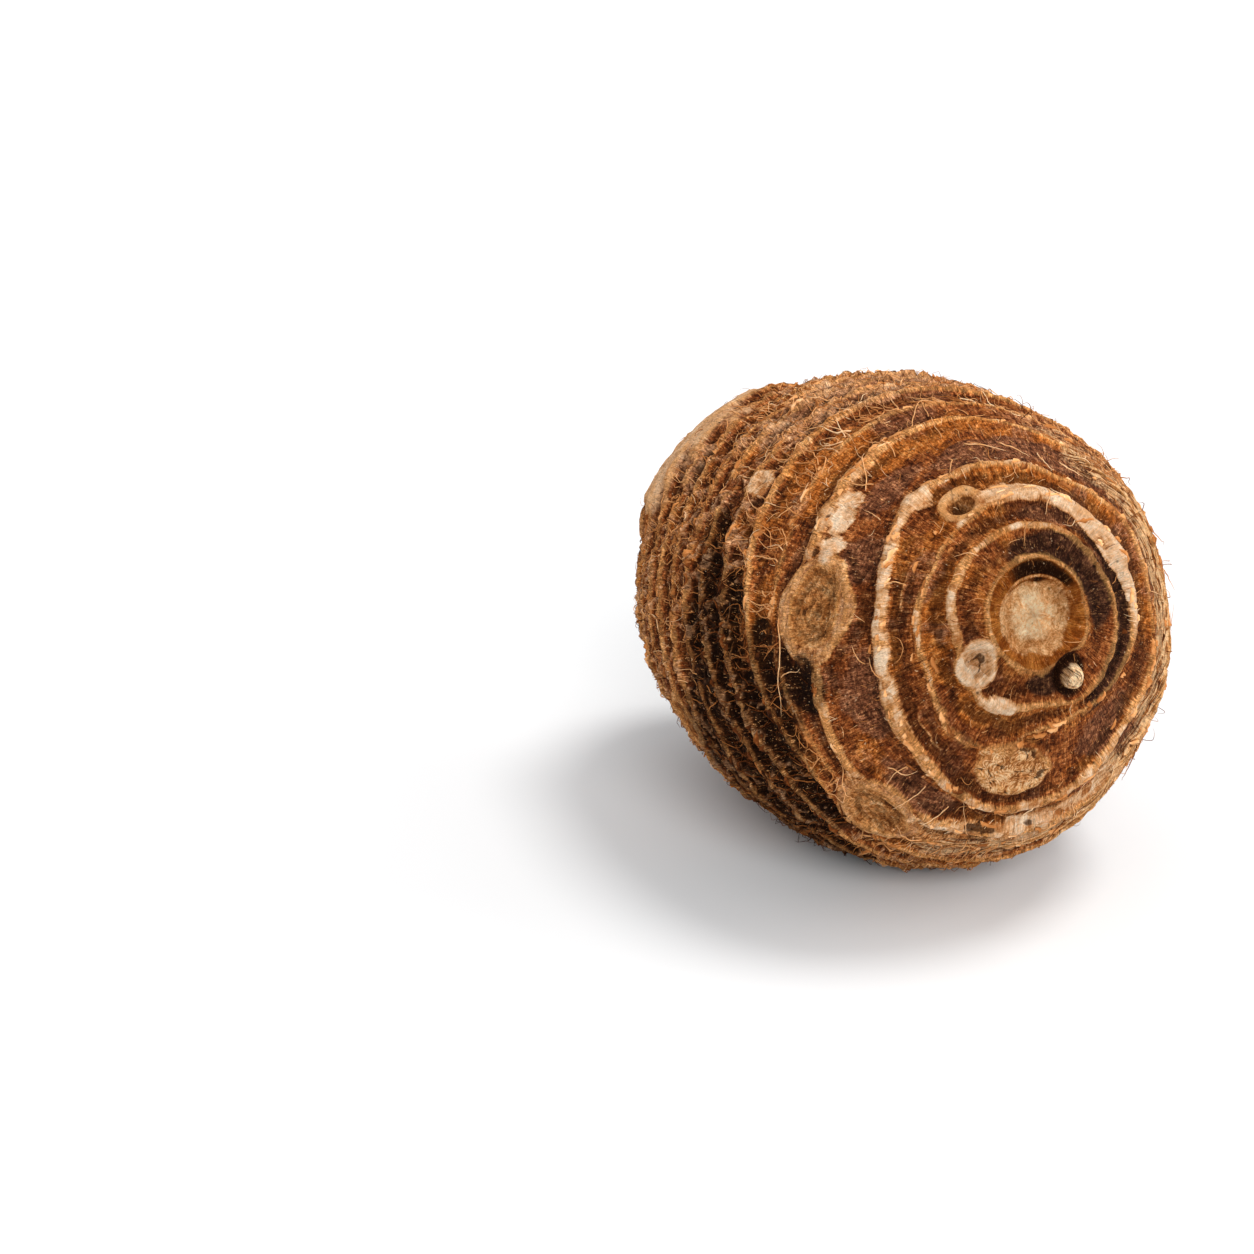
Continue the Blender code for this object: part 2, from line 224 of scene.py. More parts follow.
CREAM_PATCHES = (
    (28.5, 352, 2.6, 5.5, 1.1),
    (27.3, 1, 2, 4, 1),
    (38.5, 327, 3.2, 3, 0.9),
    (50.5, 303, 2.6, 2.8, 1.1),
    (52, 311, 2.8, 3.2, 1),
    (53.5, 318, 2.4, 2.6, 1),
    (16.5, 210, 1.5, 3, 0.9),
    (42.5, 163, 2.5, 12, 0.75),
    (44, 181, 3, 4, 0.65),
    (49, 172, 3, 10, 0.6),
    (46, 200, 3, 5, 0.8),
)
GOLD_ZONES = (
    (43.5, 166, 4, 14, 1),
    (47.5, 176, 4.5, 22, 0.9),
    (44, 146, 3.5, 14, 0.7),
    (49, 205, 4, 8, 0.7),
    (47, 60, 2.5, 30, 0.5),
    (84, 340, 8, 16, 0.5),
    (56, 322, 4, 5, 0.5),
)
LAYER_ZONES = (
    (45, 85, 9, 42, 0.8),
    (38, 82, 4, 24, 0.9),
    (54, 35, 7, 18, 0.5),
    (52, 150, 9, 26, 0.9),
    (54, 190, 6, 16, 0.7),
)
TAN_ZONES = (
    (62, 30, 8, 22, 0.5),
    (90, 345, 14, 24, 0.8),
    (111, 312, 6, 6, 0.8),
    (80, 312, 4, 6, 0.7),
    (66, 312, 3, 3.5, 0.6),
)
# Dark stain, mostly on the lower left, and in it a painted shadow of a cut taro half that lay beside the
# root.
STAIN_AND_SHADOW_ZONES = (
    (66, 252, 10, 18, 1.1),
    (58, 264, 5, 9, 1),
    (82, 270, 13, 24, 1),
    (85, 232, 18, 30, 1),
    (52, 265, 5, 6, 1.3),
    (64, 276, 5, 6, 0.9),
    (88, 298, 6, 8, 0.7),
    (64, 232, 6, 10, 0.9),
    (34, 208, 2.6, 4, 0.5),
)
COLOUR_ZONES = (
    ("purple", PURPLE_ZONES, 1),
    ("orange", ORANGE_ZONES, 1),
    ("charcoal", CHARCOAL_ZONES, 0.5),
    ("stain_and_shadow", STAIN_AND_SHADOW_ZONES, 1),
    ("gold", GOLD_ZONES, 1),
    ("layers", LAYER_ZONES, 1.1),
    ("grey", TAN_ZONES, 1),
)

# The camera.
LENS, SENSOR = 85, 36
CAMERA_PITCH_DEG, CAMERA_YAW_DEG = 20, -23
CAMERA_AWAY = 592.2
CAMERA_RIGHT, CAMERA_UP = -52.4, -4.5

# The even surround, and the lights: name, direction it comes from, strength, width, colour.
WORLD = 0.68
LIGHTS = (
    ("key", (0.32, -0.15, 0.93), 1.65, 20, (1, 0.98, 0.95)),
    ("front", (-0.20, -0.85, 0.50), 2, 30, (1, 0.99, 0.97)),
    ("right", (0.85, -0.35, 0.45), 0.95, 40, (1, 0.99, 0.97)),
)

# Threads that stand out: from along and round, heading (0 tailwards, 90 clockwise), length,
# lift at the tip, tone.
NAMED_FIBRES = (
    (58.5, 283, -88, 19, 0.2, 0.8),
    (58, 268, 150, 6, 0.4, 0.8),
    (52, 322, 25, 15, 0.3, 0.8),
    (42, 14, -160, 9, 0.6, 0.85),
    (40.5, 22, 170, 6, 0.9, 0.85),
    (45, 2, 160, 8, 0.4, 0.8),
    (44, 345, 185, 8, 0.3, 0.75),
    (47, 352, 150, 9, 0.5, 0.8),
    (54, 335, 20, 12, 0.3, 0.75),
    (60, 345, 35, 13, 0.4, 0.75),
    (63, 352, 20, 10, 0.4, 0.75),
    (38, 218, -20, 9, 0.6, 0.85),
    (40, 206, 10, 7, 0.7, 0.85),
    (37.5, 228, 20, 6, 0.4, 0.8),
    (41, 232, -110, 7, 0.5, 0.8),
    (50, 240, -60, 8, 0.4, 0.75),
    (52, 205, 60, 7, 0.5, 0.75),
    (33, 262, 15, 5, 0.4, 0.75),
    (36.5, 268, 30, 5, 0.3, 0.75),
    (27, 12, 175, 6, 0.3, 0.8),
    (18, 322, -20, 5, 0.3, 0.8),
    (56, 40, 30, 9, 1.9, 0.45),
    (58, 48, 60, 8, 2, 0.4),
    (55, 62, 80, 9, 1.8, 0.45),
    (52, 75, 100, 7, 1.6, 0.5),
    (62, 20, 20, 7, 1.6, 0.4),
    (64, 8, 10, 6, 1.5, 0.4),
    (44, 132, 70, 7, 1.8, 0.3),
    (46, 142, 30, 6, 1.7, 0.25),
    (50, 160, 40, 6, 1.4, 0.25),
    (62, 190, 60, 7, 1.4, 0.3),
)

# The skin's mesh, how far a thread may stand outside the solid's box, how high above the floor
# threads start, the least height of any point, and the thickness of a papery leaf.
FINE_TO, ROW_FINE, ROW_COARSE = 92, 0.5, 0.87
COLUMNS = 338
PROUD = 2.0
CLEAR_OF_FLOOR = 1.2
LEAST_HEIGHT = 0.02
LEAF_THICKNESS = 0.11

# The radius at which patterns are wrapped round the root, the ring with holes in its cork, and
# the ring after which the net's small cells begin.
WRAP_RADIUS = 40
HOLED_RING, NET_AFTER_RING = 4, 5


def lattice(x, y, z, seed):
    """A number from 0 to 1 for each whole-number corner, always the same for the same corner."""
    mixed = (x * 374761393 + y * 668265263 + z * 1440662683 + seed * 974634777) & 0xFFFFFFFF
    mixed = ((mixed ^ (mixed >> 13)) * 1274126177) & 0xFFFFFFFF
    mixed = mixed ^ (mixed >> 16)
    return mixed / 0xFFFFFFFF


def noise(points, size, seed):
    """Smooth value noise from -1 to 1 over points in millimetres, with cells of that size."""
    scaled = np.asarray(points, float) / size
    cell = np.floor(scaled).astype(np.int64)
    part = scaled - cell
    part = part * part * (3 - 2 * part)
    total = 0.0
    for dx in (0, 1):
        wx = part[..., 0] if dx else 1 - part[..., 0]
        for dy in (0, 1):
            wy = part[..., 1] if dy else 1 - part[..., 1]
            for dz in (0, 1):
                wz = part[..., 2] if dz else 1 - part[..., 2]
                total = total + wx * wy * wz * lattice(
                    cell[..., 0] + dx, cell[..., 1] + dy, cell[..., 2] + dz, seed
                )
    return total * 2 - 1


def fractal(points, size, seed, octaves=3, gain=0.5):
    """Noise from -1 to 1 with finer and finer detail."""
    total, weight, sum_weight = 0, 1, 0.0
    for octave in range(octaves):
        total = total + weight * noise(points, size / 2**octave, seed + octave * 17)
        sum_weight += weight
        weight *= gain
    return total / sum_weight


def body_radius(share):
    taper = RADIUS_AT_CROWN + (RADIUS_AT_TAIL - RADIUS_AT_CROWN) * share
    return np.sin(np.pi * share) * taper


def body_station(share):
    return LENGTH * (1 - np.cos(np.pi * share)) / 2


SHARES = np.linspace(0, 1, 4001)
SKIN_LENGTHS = np.concatenate(
    [[0], np.cumsum(np.hypot(np.diff(body_radius(SHARES)), np.diff(body_station(SHARES))))]
)
SKIN_TOTAL = float(SKIN_LENGTHS[-1])


def radius_at(along):
    return np.maximum(body_radius(np.interp(along, SKIN_LENGTHS, SHARES)), 0.5)


def body_point(along, around):
    """Points of the smooth body, in millimetres about its centre. The angle is in radians."""
    share = np.interp(along, SKIN_LENGTHS, SHARES)
    station = body_station(share)
    oval = 1 + OVAL_SHARE * np.cos(2 * (around - math.radians(OVAL_AT_DEG)))
    radius = body_radius(share) * oval
    reach = 2 * station / LENGTH - 1
    bow, skew = reach**2 - 0.4, reach**3 - 0.6 * reach
    side = radius * np.sin(around) + BOW_SIDE * bow + SKEW_SIDE * skew
    up = radius * np.cos(around) + BOW_UP * bow + SKEW_UP * skew
    forward = LENGTH / 2 - station
    lean = math.radians(CROWN_UP_DEG)
    y = -math.cos(lean) * forward + math.sin(lean) * up
    z = math.sin(lean) * forward + math.cos(lean) * up
    return np.stack([side, y, z], axis=-1)


def body_normal(along, around):
    near, far = np.maximum(along - 0.4, 0.3), np.minimum(along + 0.4, SKIN_TOTAL - 0.3)
    down = body_point(far, around) - body_point(near, around)
    across = body_point(along, around + 0.01) - body_point(along, around - 0.01)
    normal = np.cross(across, down)
    return normal / np.linalg.norm(normal, axis=-1, keepdims=True)


def bump(distance, width):
    return np.exp(-((distance / width) ** 2))


def ease(value, low, high):
    """0 up to the low value, 1 from the high one, and a smooth step between."""
    share = np.clip((value - low) / (high - low), 0, 1)
    return share * share * (3 - 2 * share)


def fade(value, low, high):
    return 1 - ease(value, low, high)


def named_line(values, degrees):
    """A smooth line round the root from its twelve values."""
    ends = np.fft.rfft(np.array(values))
    turns = np.arange(len(ends))
    doubled = np.where((turns == 0) | (turns == len(ends) - 1), 1, 2)
    angles = np.radians(degrees)[..., None] * turns
    waves = ends.real * np.cos(angles) - ends.imag * np.sin(angles)
    return (waves * doubled).sum(axis=-1) / len(values)


def net_lines(degrees, draws):
    """The rings between the net's edge and the tail, each a little closer than the last."""
    edge = named_line(NET_EDGE, degrees)
    lines = []
    at = float(np.mean(NET_EDGE))
    step = NET_STEP_FIRST
    while at + step < SKIN_TOTAL - TAIL_DISC_RADIUS - 2:
        at += step
        kept = fade(at, 70, 150)
        wobble = np.zeros_like(degrees)
        for turns in (2, 3, 5):
            phase = draws.uniform(0, 2 * np.pi)
            wobble += draws.uniform(0.3, 1) / turns * np.cos(np.radians(degrees) * turns + phase)
        lines.append(at + (edge - np.mean(NET_EDGE)) * kept + NET_RING_WOBBLE * wobble)
        step += (NET_STEP_LAST - NET_STEP_FIRST) / 16
    return lines


def swell(degrees, share, draws):
    """A factor of about one that varies smoothly on the way round a ring."""
    factor = np.ones_like(degrees)
    for turns in (3, 5, 8):
        phase = draws.uniform(0, 2 * np.pi)
        factor += share * draws.uniform(0.3, 0.7) * np.cos(np.radians(degrees) * turns + phase)
    return np.maximum(factor, 0.15)


def ring_lines(degrees, draws):
    """Every ring as (distances from the crown, heights, half-width)."""
    lines = []
    for values, height, width in NAMED_RINGS:
        heights = height * swell(degrees, SWELL_NAMED, draws)
        lines.append((named_line(values, degrees), heights, width))
    for line in net_lines(degrees, draws):
        heights = NET_RING_HEIGHT * swell(degrees, SWELL_NET, draws)
        lines.append((line, heights, NET_RING_WIDTH))
    return lines


def place(skin, at, round_at):
    """Distances in millimetres from a spot on the skin: (round, along)."""
    away = (skin.degrees - round_at + 180) % 360 - 180
    return np.radians(away) * skin.radius, skin.along - at


def wrapped(around, along, radius=WRAP_RADIUS):
    """Points on a plain tube, so that patterns can run along the root or round it."""
    return np.stack([radius * np.cos(around), radius * np.sin(around), along], axis=-1)


def swirled(points, size, seed, far):
    """The points moved about by noise, up to this far, so that patterns on them bend."""
    return points + far * np.stack([noise(points, size, seed + k) for k in range(3)], axis=-1)


def cells_near(points):
    """How far each spot lies from the walls of small irregular cells, in shares of a cell."""
    scaled = swirled(points, 3.2, 60, 1) / CELL
    cell = np.floor(scaled).astype(np.int64)
    nearest = np.full(points.shape[:-1], 9)
    second = np.full(points.shape[:-1], 9)
    for dx in (-1, 0, 1):
        for dy in (-1, 0, 1):
            for dz in (-1, 0, 1):
                corner = cell + np.array([dx, dy, dz])
                jitter = np.stack([lattice(*np.moveaxis(corner, -1, 0), 70 + k) for k in range(3)], axis=-1)
                away = np.linalg.norm(scaled - corner - jitter, axis=-1)
                second = np.minimum(second, np.maximum(nearest, away))
                nearest = np.minimum(nearest, away)
    return second - nearest


def zone_sum(skin, zones, ragged):
    """The strongest of the soft zones at each spot, with torn edges."""
    total = np.zeros_like(skin.along)
    for at, round_at, half_along, half_round, strength in zones:
        x, y = place(skin, at, round_at)
        out = np.hypot(x / half_round, y / half_along) + ragged
        total = np.maximum(total, strength * fade(out, 0.6, 1.3))
    return total


def wall_counts():
    """How many walls cross each band of the net, counted as on the solid's own grid."""
    along = np.linspace(0.6, SKIN_TOTAL - 0.6, 230)
    along, degrees = np.meshgrid(along, np.arange(240) * 1.5, indexing="ij")
    radius = radius_at(along)
    rings = ring_lines(degrees, np.random.default_rng(SEED))
    counts = []
    first_net = len(NAMED_RINGS) - 1
    for (first, _, _), (second, _, _) in zip(rings[first_net:-1], rings[first_net + 1 :]):
        share = (along - first) / (second - first)
        reach = float(np.mean(radius[np.abs(share - 0.5) < 0.2]))
        counts.append(max(8, round(2 * np.pi * reach / NET_CELL)))
    return counts


WALL_COUNTS = wall_counts()
# Colour fields, four to an attribute. Among them are painted shade in the hollows, the relief that the
# material turns into painted shade and highlight, and dark stain with a painted shadow in it.
ZONES = {
    "zone_a": ("gold", "cream", "hollow_shade", "lace"),
    "zone_b": ("purple", "orange", "charcoal", "stain_and_shadow"),
    "zone_c": ("disc", "pit", "scar", "scar_line"),
    "zone_d": ("bud", "callus", "pad", "tail"),
    "zone_e": ("relief_shading", "core", "grey", "arc"),
    "zone_f": ("layers", "crack", "pink"),
}


class Skin:
    """Height over the smooth body, in millimetres, and colour fields at spots of the skin."""

    def __init__(self, along, degrees):
        self.along = np.asarray(along, float)
        self.degrees = np.asarray(degrees, float)
        self.around = np.radians(self.degrees)
        self.radius = radius_at(self.along)
        self.spot = body_point(self.along, self.around)
        self.draws = np.random.default_rng(SEED)
        self.rings = ring_lines(self.degrees, self.draws)
        self.ragged = fractal(self.spot, 3.2, 5, 3)
        self.wander = 0.5 * noise(self.spot, 7, 3) + 0.35 * noise(self.spot, 2.6, 4)
        self.wander = self.wander + 0.13 * noise(self.spot, 1.3, 6)
        self.height = np.zeros_like(self.along)
        self.fields = {name: np.zeros_like(self.along) for names in ZONES.values() for name in names}
        self.add_rings()
        self.add_net()
        self.add_pit()
        self.add_tail()
        for scar in BUD_SCARS:
            self.add_scar(*scar)
        self.add_bud()
        self.add_callus()
        self.add_pad()
        self.add_lumps()
        self.add_grain()
        self.add_zones()

    def lift(self, name, values):
        self.fields[name] = np.maximum(self.fields[name], values)

    def clear(self, share, *names):
        for name in names:
            self.fields[name] = self.fields[name] * (1 - share)

    def cuts(self, number):
        """1 in the gaps between the blocks that a ring's cork breaks into."""
        where = wrapped(self.around, 0 * self.around + 37.3 * number, 36)
        return fade(np.abs(noise(where, 3.2, 81)), 0.05, 0.3)

    def add_rings(self):
        for number, ring in enumerate(self.rings):
            self.add_ring(number, *ring)
        for edge in LAYER_EDGES:
            self.add_layer_edge(*edge)
        for (first, _, _), (second, _, _) in zip(self.rings[:-1], self.rings[1:]):
            share = np.clip((self.along - first) / (second - first), 0, 1)
            self.height -= BAND_SAG * np.sin(np.pi * share) ** 2
        self.add_shoulder()

    def add_ring(self, number, line, rise, width):
        away = self.along - line + self.wander + 0.35 * noise(self.spot, 3.4, 84)
        cut = 0.45 * self.cuts(number)
        torn_off = ease(noise(self.spot, 5, 83 + number), 0, 0.4)
        if number < len(RING_LOOKS):
            half, bare = [named_line(values, self.degrees) for values in RING_LOOKS[number]]
            half = np.maximum(half, 0.3)
            tall = rise * np.clip(half / 0.9, 0.4, 1)
            self.lift("orange", 0.7 * bump(away - 0.8, 2.6))
        else:
            half, bare = NET_LOOK
            tall = rise * NET_RING_SHARE * (1 - 0.6 * torn_off)
        half = half * (1 + 0.45 * self.ragged)
        off = np.abs(away) / half
        plate = fade(off, 0.55, 1.35)
        shape = 0.6 * bump(away, width) + 0.45 * plate * (1 + 0.4 * self.ragged) * (1 - 0.8 * cut)
        self.height = np.maximum(self.height, tall * shape)
        strength = np.clip(0.6 + 0.45 * rise, 0, 1.1) * (1 - 0.45 * cut)
        strength = strength * (1 - np.clip(1.15 - bare, 0, 0.85) * torn_off)
        if number == HOLED_RING:
            holes = ease(noise(self.spot, 2.6, 141), 0.25, 0.5) * plate * ease(half, 1.9, 2.4)
            self.height -= 0.7 * holes
            self.lift("crack", 1.1 * holes)
        self.lift("gold", strength * fade(off, 0.6, 1.5))
        self.lift("cream", bare * strength * (1 - 0.7 * cut) * fade(off, 0.6, 1.2))

    def add_layer_edge(self, number, past, middle, half_round, strength):
        away = self.along - self.rings[number][0] - past + 1.3 * self.wander
        turn = np.abs((self.degrees - middle + 180) % 360 - 180)
        shown = strength * fade(turn, 0.6 * half_round, half_round)
        shown = shown * ease(noise(self.spot, 6, 87 + number), -0.55, 0.1)
        self.height += 0.32 * shown * (bump(away, 0.5) - 0.5 * bump(away - 0.9, 0.6))
        self.lift("gold", shown * bump(away, 0.38))
        # Painted shade just past each raised paper edge, at its foot.
        self.lift("hollow_shade", 0.7 * shown * bump(away - 0.8, 0.4))

    def add_shoulder(self):
        inner, outer = self.rings[2][0], self.rings[3][0]
        past = self.along - inner + self.wander
        share = past / (outer - inner)
        reach = named_line(SHOULDER_CREAM, self.degrees)
        inward = np.maximum(named_line(SHOULDER_INWARD, self.degrees), 0.1)
        on = ease(reach, 0.02, 0.12) * ease(past, -inward - 0.5, -inward + 0.5)
        cream = on * fade(share, reach - 0.06 + 0.1 * self.ragged, reach + 0.08 + 0.1 * self.ragged)
        self.lift("cream", 1.05 * cream)
        self.lift("gold", 0.9 * cream)
        self.lift("orange", 1.1 * on * ease(share, -0.05, 0.05) * fade(share, 0.95, 1.1))
        self.clear(cream, "hollow_shade", "purple", "charcoal")
        self.height += 0.3 * on * fade(share, reach - 0.1, reach + 0.15)

    def crossing(self, share, count, draws, jitter, lean, low, width, wavy):
        """Walls that cross a band of the net."""
        band = (share > 0) & (share < 1)
        degrees, radius, wander, along = self.degrees[band], self.radius[band], self.wander[band], share[band]
        found = np.zeros(len(degrees))
        for step in range(count):
            at = (step + draws.uniform(-jitter, jitter)) * 360 / count
            slant = draws.uniform(-lean, lean) * 360 / count
            rise = draws.uniform(low, 1)
            away = (degrees - at - slant * (along - 0.5) + 180) % 360 - 180
            found = np.maximum(found, rise * bump(np.radians(away) * radius + wavy * wander, width))
        walls = np.zeros_like(self.along)
        walls[band] = found
        return walls

    def add_net(self):
        first_net = len(NAMED_RINGS) - 1
        extra = np.random.default_rng(SEED + 5)
        pairs = zip(self.rings[first_net:-1], self.rings[first_net + 1 :], WALL_COUNTS)
        for (first, _, _), (second, _, _), count in pairs:
            share = (self.along - first) / (second - first)
            inside = np.sin(np.pi * np.clip(share, 0, 1))
            walls = self.crossing(share, count, self.draws, 0.3, 0.8, 0.2, 0.7 * NET_WALL_WIDTH, 1.4)
            lace = self.crossing(share, 2 * count, extra, 0.35, 2, 0.1, 0.42, 2.4)
            raised = (0.8 * NET_WALL_HEIGHT + 0.6 * NET_FLOOR) * walls * (1 + 0.6 * self.ragged) + 0.65 * lace
            self.height += inside**0.6 * raised - 0.7 * inside * NET_FLOOR
            between = 1 - np.maximum(walls, lace)
            # Painted shade on the floors between the net's walls.
            self.lift("hollow_shade", inside**0.7 * between * (0.8 + 0.5 * self.ragged))
            self.lift("lace", inside**0.3 * np.maximum(0.9 * walls, lace))
        past = ease(self.along - self.rings[NET_AFTER_RING][0], 5, 18)
        gap = cells_near(self.spot)
        shown = ease(noise(self.spot, 5, 91), -0.6, 0.2)
        wall = fade(gap, 0.03, 0.22) * shown
        floor = ease(gap, 0.12, 0.55)
        self.height += past * (0.5 * wall - 0.4 * floor)
        # Painted shade on the floors of the small cells.
        self.lift("hollow_shade", 0.8 * past * floor * (0.75 + 0.5 * self.ragged))
        self.lift("lace", 0.75 * past * wall)

    def add_pit(self):
        rim = self.rings[0][0] + 0.5 * self.wander
        share = np.clip(self.along / rim, 0, 1)
        wall = ease(share, STEM_DISC_RADIUS / 10.2, 1)
        step = STEM_STEP_HEIGHT * bump(self.along - STEM_STEP_AT, 0.6)
        self.height += (wall - 1) * STEM_PIT_DEPTH + step * fade(share, 0.8, 1)
        edge = named_line(DISC_EDGE, self.degrees) + 0.9 * self.ragged
        disc = fade(self.along - edge, -1.0, 0.9)
        pit = fade(share, 0.95, 1.03)
        upper_wall_shade = ease(np.cos(self.around - 0.2), 0.45, 0.95)
        arc = bump(self.along - 7.5 + 0.6 * self.wander, 0.3) * ease(np.cos(self.around), -0.1, 0.5)
        self.clear(pit, "hollow_shade", "orange")
        self.lift("pit", pit)
        self.lift("disc", disc)
        self.lift("core", fade(self.along + 0.8 * self.wander, 1.5, edge * 0.85))
        self.lift("arc", arc)
        # Painted shade on the pit's upper wall, which faces down, away from the light above.
        self.lift("hollow_shade", 0.95 * upper_wall_shade * pit * (1 - disc) * (1 - arc))
        self.height += 0.25 * arc + 0.22 * disc * noise(self.spot, 1.1, 92)

    def add_tail(self):
        left = SKIN_TOTAL - self.along
        edge = TAIL_DISC_RADIUS + 0.9 * np.cos(np.radians(3 * self.degrees + 40))
        self.height += -TAIL_DISC_DEPTH * fade(left, edge * 0.45, edge)
        self.height += 0.9 * bump(left - edge - 0.8, 1.3)
        tail = fade(left + 0.6 * self.wander, edge * 0.8, edge * 1.05)
        self.height += 0.5 * tail * fractal(self.spot, 3, 93, 3)
        self.lift("tail", tail)
        self.clear(tail, "hollow_shade", "gold", "lace")

    def add_scar(self, at, round_at, half_round, half_along, rise, bowl, steps):
        x, y = place(self, at, round_at)
        narrow = 1 - (0.3 if steps > 1 else 0) * np.clip(x / half_round, -1, 1) ** 2
        out = np.hypot(x / half_round, y / (half_along * narrow))
        bent = out + 0.1 * self.wander + (0.16 if steps == 1 else 0.09) * noise(self.spot, 4, int(at))
        across = 1.1 / min(half_round, half_along)
        rim = ease(bent, 0.5, 0.8) * fade(bent, 1, 1.0 + 1.5 * across)
        shape = rise * (0.55 * rim + 0.2 * self.ragged * rim) - bowl * fade(bent, 0, 0.95)
        lines = (0.35 if steps > 1 else 0.9) * bump(bent - 1, 0.6 * across)
        layers = 2 * steps + 1
        for step in range(1, layers):
            place_of = step / layers + 0.05 * noise(self.spot, 6, 95 + step)
            line = bump(bent - place_of, 0.35 * across)
            shape = shape + 0.4 * line
            lines = np.maximum(lines, 0.9 * line * ease(noise(self.spot, 3, 99 + step), -0.4, 0.2))
        hides = fade(bent, 1, 1.3)
        self.height = self.height * (1 - hides) + shape
        inside = fade(bent, 0.95, 1.15)
        self.clear(inside, "gold", "cream", "hollow_shade", "orange", "layers", "lace")
        self.clear(0.7 * inside, "stain_and_shadow", "purple", "charcoal")
        self.lift("scar", inside)
        self.lift("scar_line", lines)
        self.lift("grey", inside * ease(bent, 0.6, 0.8) * (0.65 if steps > 1 else 0))
        folds = np.abs(noise(swirled(self.spot, 2.6, 121, 1.2), 2, 125))
        crack = inside * fade(folds, 0.01, 0.08)
        if steps > 1:
            # Painted shade at the foot of the rim inside a large scar.
            self.lift("hollow_shade", 0.6 * bump(bent - 0.55, 0.1) * (0.8 + self.ragged))
            self.lift("crack", 0.8 * crack * fade(bent, 0.2, 0.6))
        elif bowl > 2:
            # Painted shade in the sunken bowl of the scar.
            self.lift("hollow_shade", 0.75 * fade(bent + 0.5 * self.ragged, 0.2, 0.6))
            self.lift("crack", 0.9 * crack * fade(bent, 0.6, 0.9))
            self.lift("pink", inside * ease(bent, 0.5, 0.75))
        else:
            self.clear(inside, "stain_and_shadow", "purple", "charcoal")
            self.lift("pink", inside)
            self.lift("cream", np.maximum(0.8 * inside, 1.1 * bump(bent - 0.88, 0.2)))
            self.lift("crack", inside * fade(folds, 0.03, 0.2) * fade(bent, 0.35, 0.65))
            # Painted shade in a narrow ring at the foot of the scar's rim, just outside it.
            self.lift("hollow_shade", 0.6 * bump(bent - 1.22, 0.1))
        self.height -= 0.15 * crack * fade(bent, 0.5, 0.8)

    def add_bud(self):
        x, y = place(self, BUD_AT, BUD_ROUND)
        out = np.hypot(x, y)
        dome = BUD_HEIGHT * np.sqrt(np.clip(1 - (out / BUD_RADIUS) ** 2, 0, 1))
        moat = bump(out - BUD_RADIUS - 0.6, 1)
        hides = fade(out, BUD_MOAT_RADIUS * 0.8, BUD_MOAT_RADIUS * 1.2)
        scales = bump(np.hypot(x - 0.5, y + 0.4) - 1.35, 0.16) + bump(np.hypot(x - 0.8, y + 0.6) - 0.75, 0.14)
        self.height = self.height * (1 - hides) + dome - 0.25 * scales - BUD_MOAT_DEPTH * moat
        self.clear(hides, "gold", "cream", "orange")
        self.lift("bud", fade(out, BUD_RADIUS * 0.85, BUD_RADIUS * 1.02))
        # Painted shade in the moat round the bud and in the grooves between its scales; the moat's charcoal
        # colour is painted shade too.
        self.lift("hollow_shade", np.maximum(moat, 0.8 * scales * (out < BUD_RADIUS)))
        self.lift("charcoal", moat)

    def add_callus(self):
        x, y = place(self, CALLUS_AT, CALLUS_ROUND)
        out = np.hypot(x / CALLUS_HALF[0], y / CALLUS_HALF[1]) + 0.14 * self.wander
        hides = fade(out + 0.12 * self.ragged, 0.7, 1.2)
        folds = np.abs(noise(swirled(self.spot, 3, 21, 1.5), 2.1, 25))
        plate = CALLUS_HEIGHT * fade(out, 0.85, 1.1)
        self.height = self.height * (1 - hides) + plate + hides * (0.5 * folds - 0.25)
        self.clear(hides, "gold", "cream", "hollow_shade", "purple", "charcoal")
        self.lift("callus", hides)
        self.lift("crack", hides * fade(folds, 0.03, 0.17) * ease(noise(self.spot, 2.4, 27), -0.5, 0.1))

    def add_pad(self):
        x, y = place(self, PAD_AT, PAD_ROUND)
        out = np.hypot(x / PAD_HALF[0], y / PAD_HALF[1])
        out = out + 0.16 * noise(self.spot, 8, 133) + 0.1 * noise(self.spot, 3, 134)
        pad = fade(out, 0.45, 1)
        self.height = self.height * (1 - 0.7 * pad) + PAD_HEIGHT * pad
        self.lift("pad", fade(out + 0.15 * self.ragged, 0.45, 0.95))
        self.clear(0.9 * pad, "hollow_shade", "gold", "lace")

    def add_lumps(self):
        for turns in (2, 3, 4, 6, 7):
            waves = self.draws.uniform(1.5, 6)
            phase = self.draws.uniform(0, 2 * np.pi)
            swing = np.cos(self.around * turns + phase) * np.sin(np.pi * waves * self.along / SKIN_TOTAL) ** 2
            self.height += LUMP_HEIGHT / 2 * swing

    def add_grain(self):
        wrap = wrapped(self.around, self.along)
        streak = fractal(wrap * np.array([1, 1, 0.22]), 1.5, 31, 2)
        wrinkle = fractal(wrap * np.array([0.3, 0.3, 1]), 1.7, 37, 2)
        grain = noise(self.spot, 1.1, 41)
        calm = 1 - 0.6 * np.maximum(self.fields["disc"], self.fields["pad"])
        self.height += calm * (0.14 * streak + 0.16 * wrinkle + 0.1 * grain)
        self.height += 0.2 * fractal(self.spot, 4.5, 43, 2)

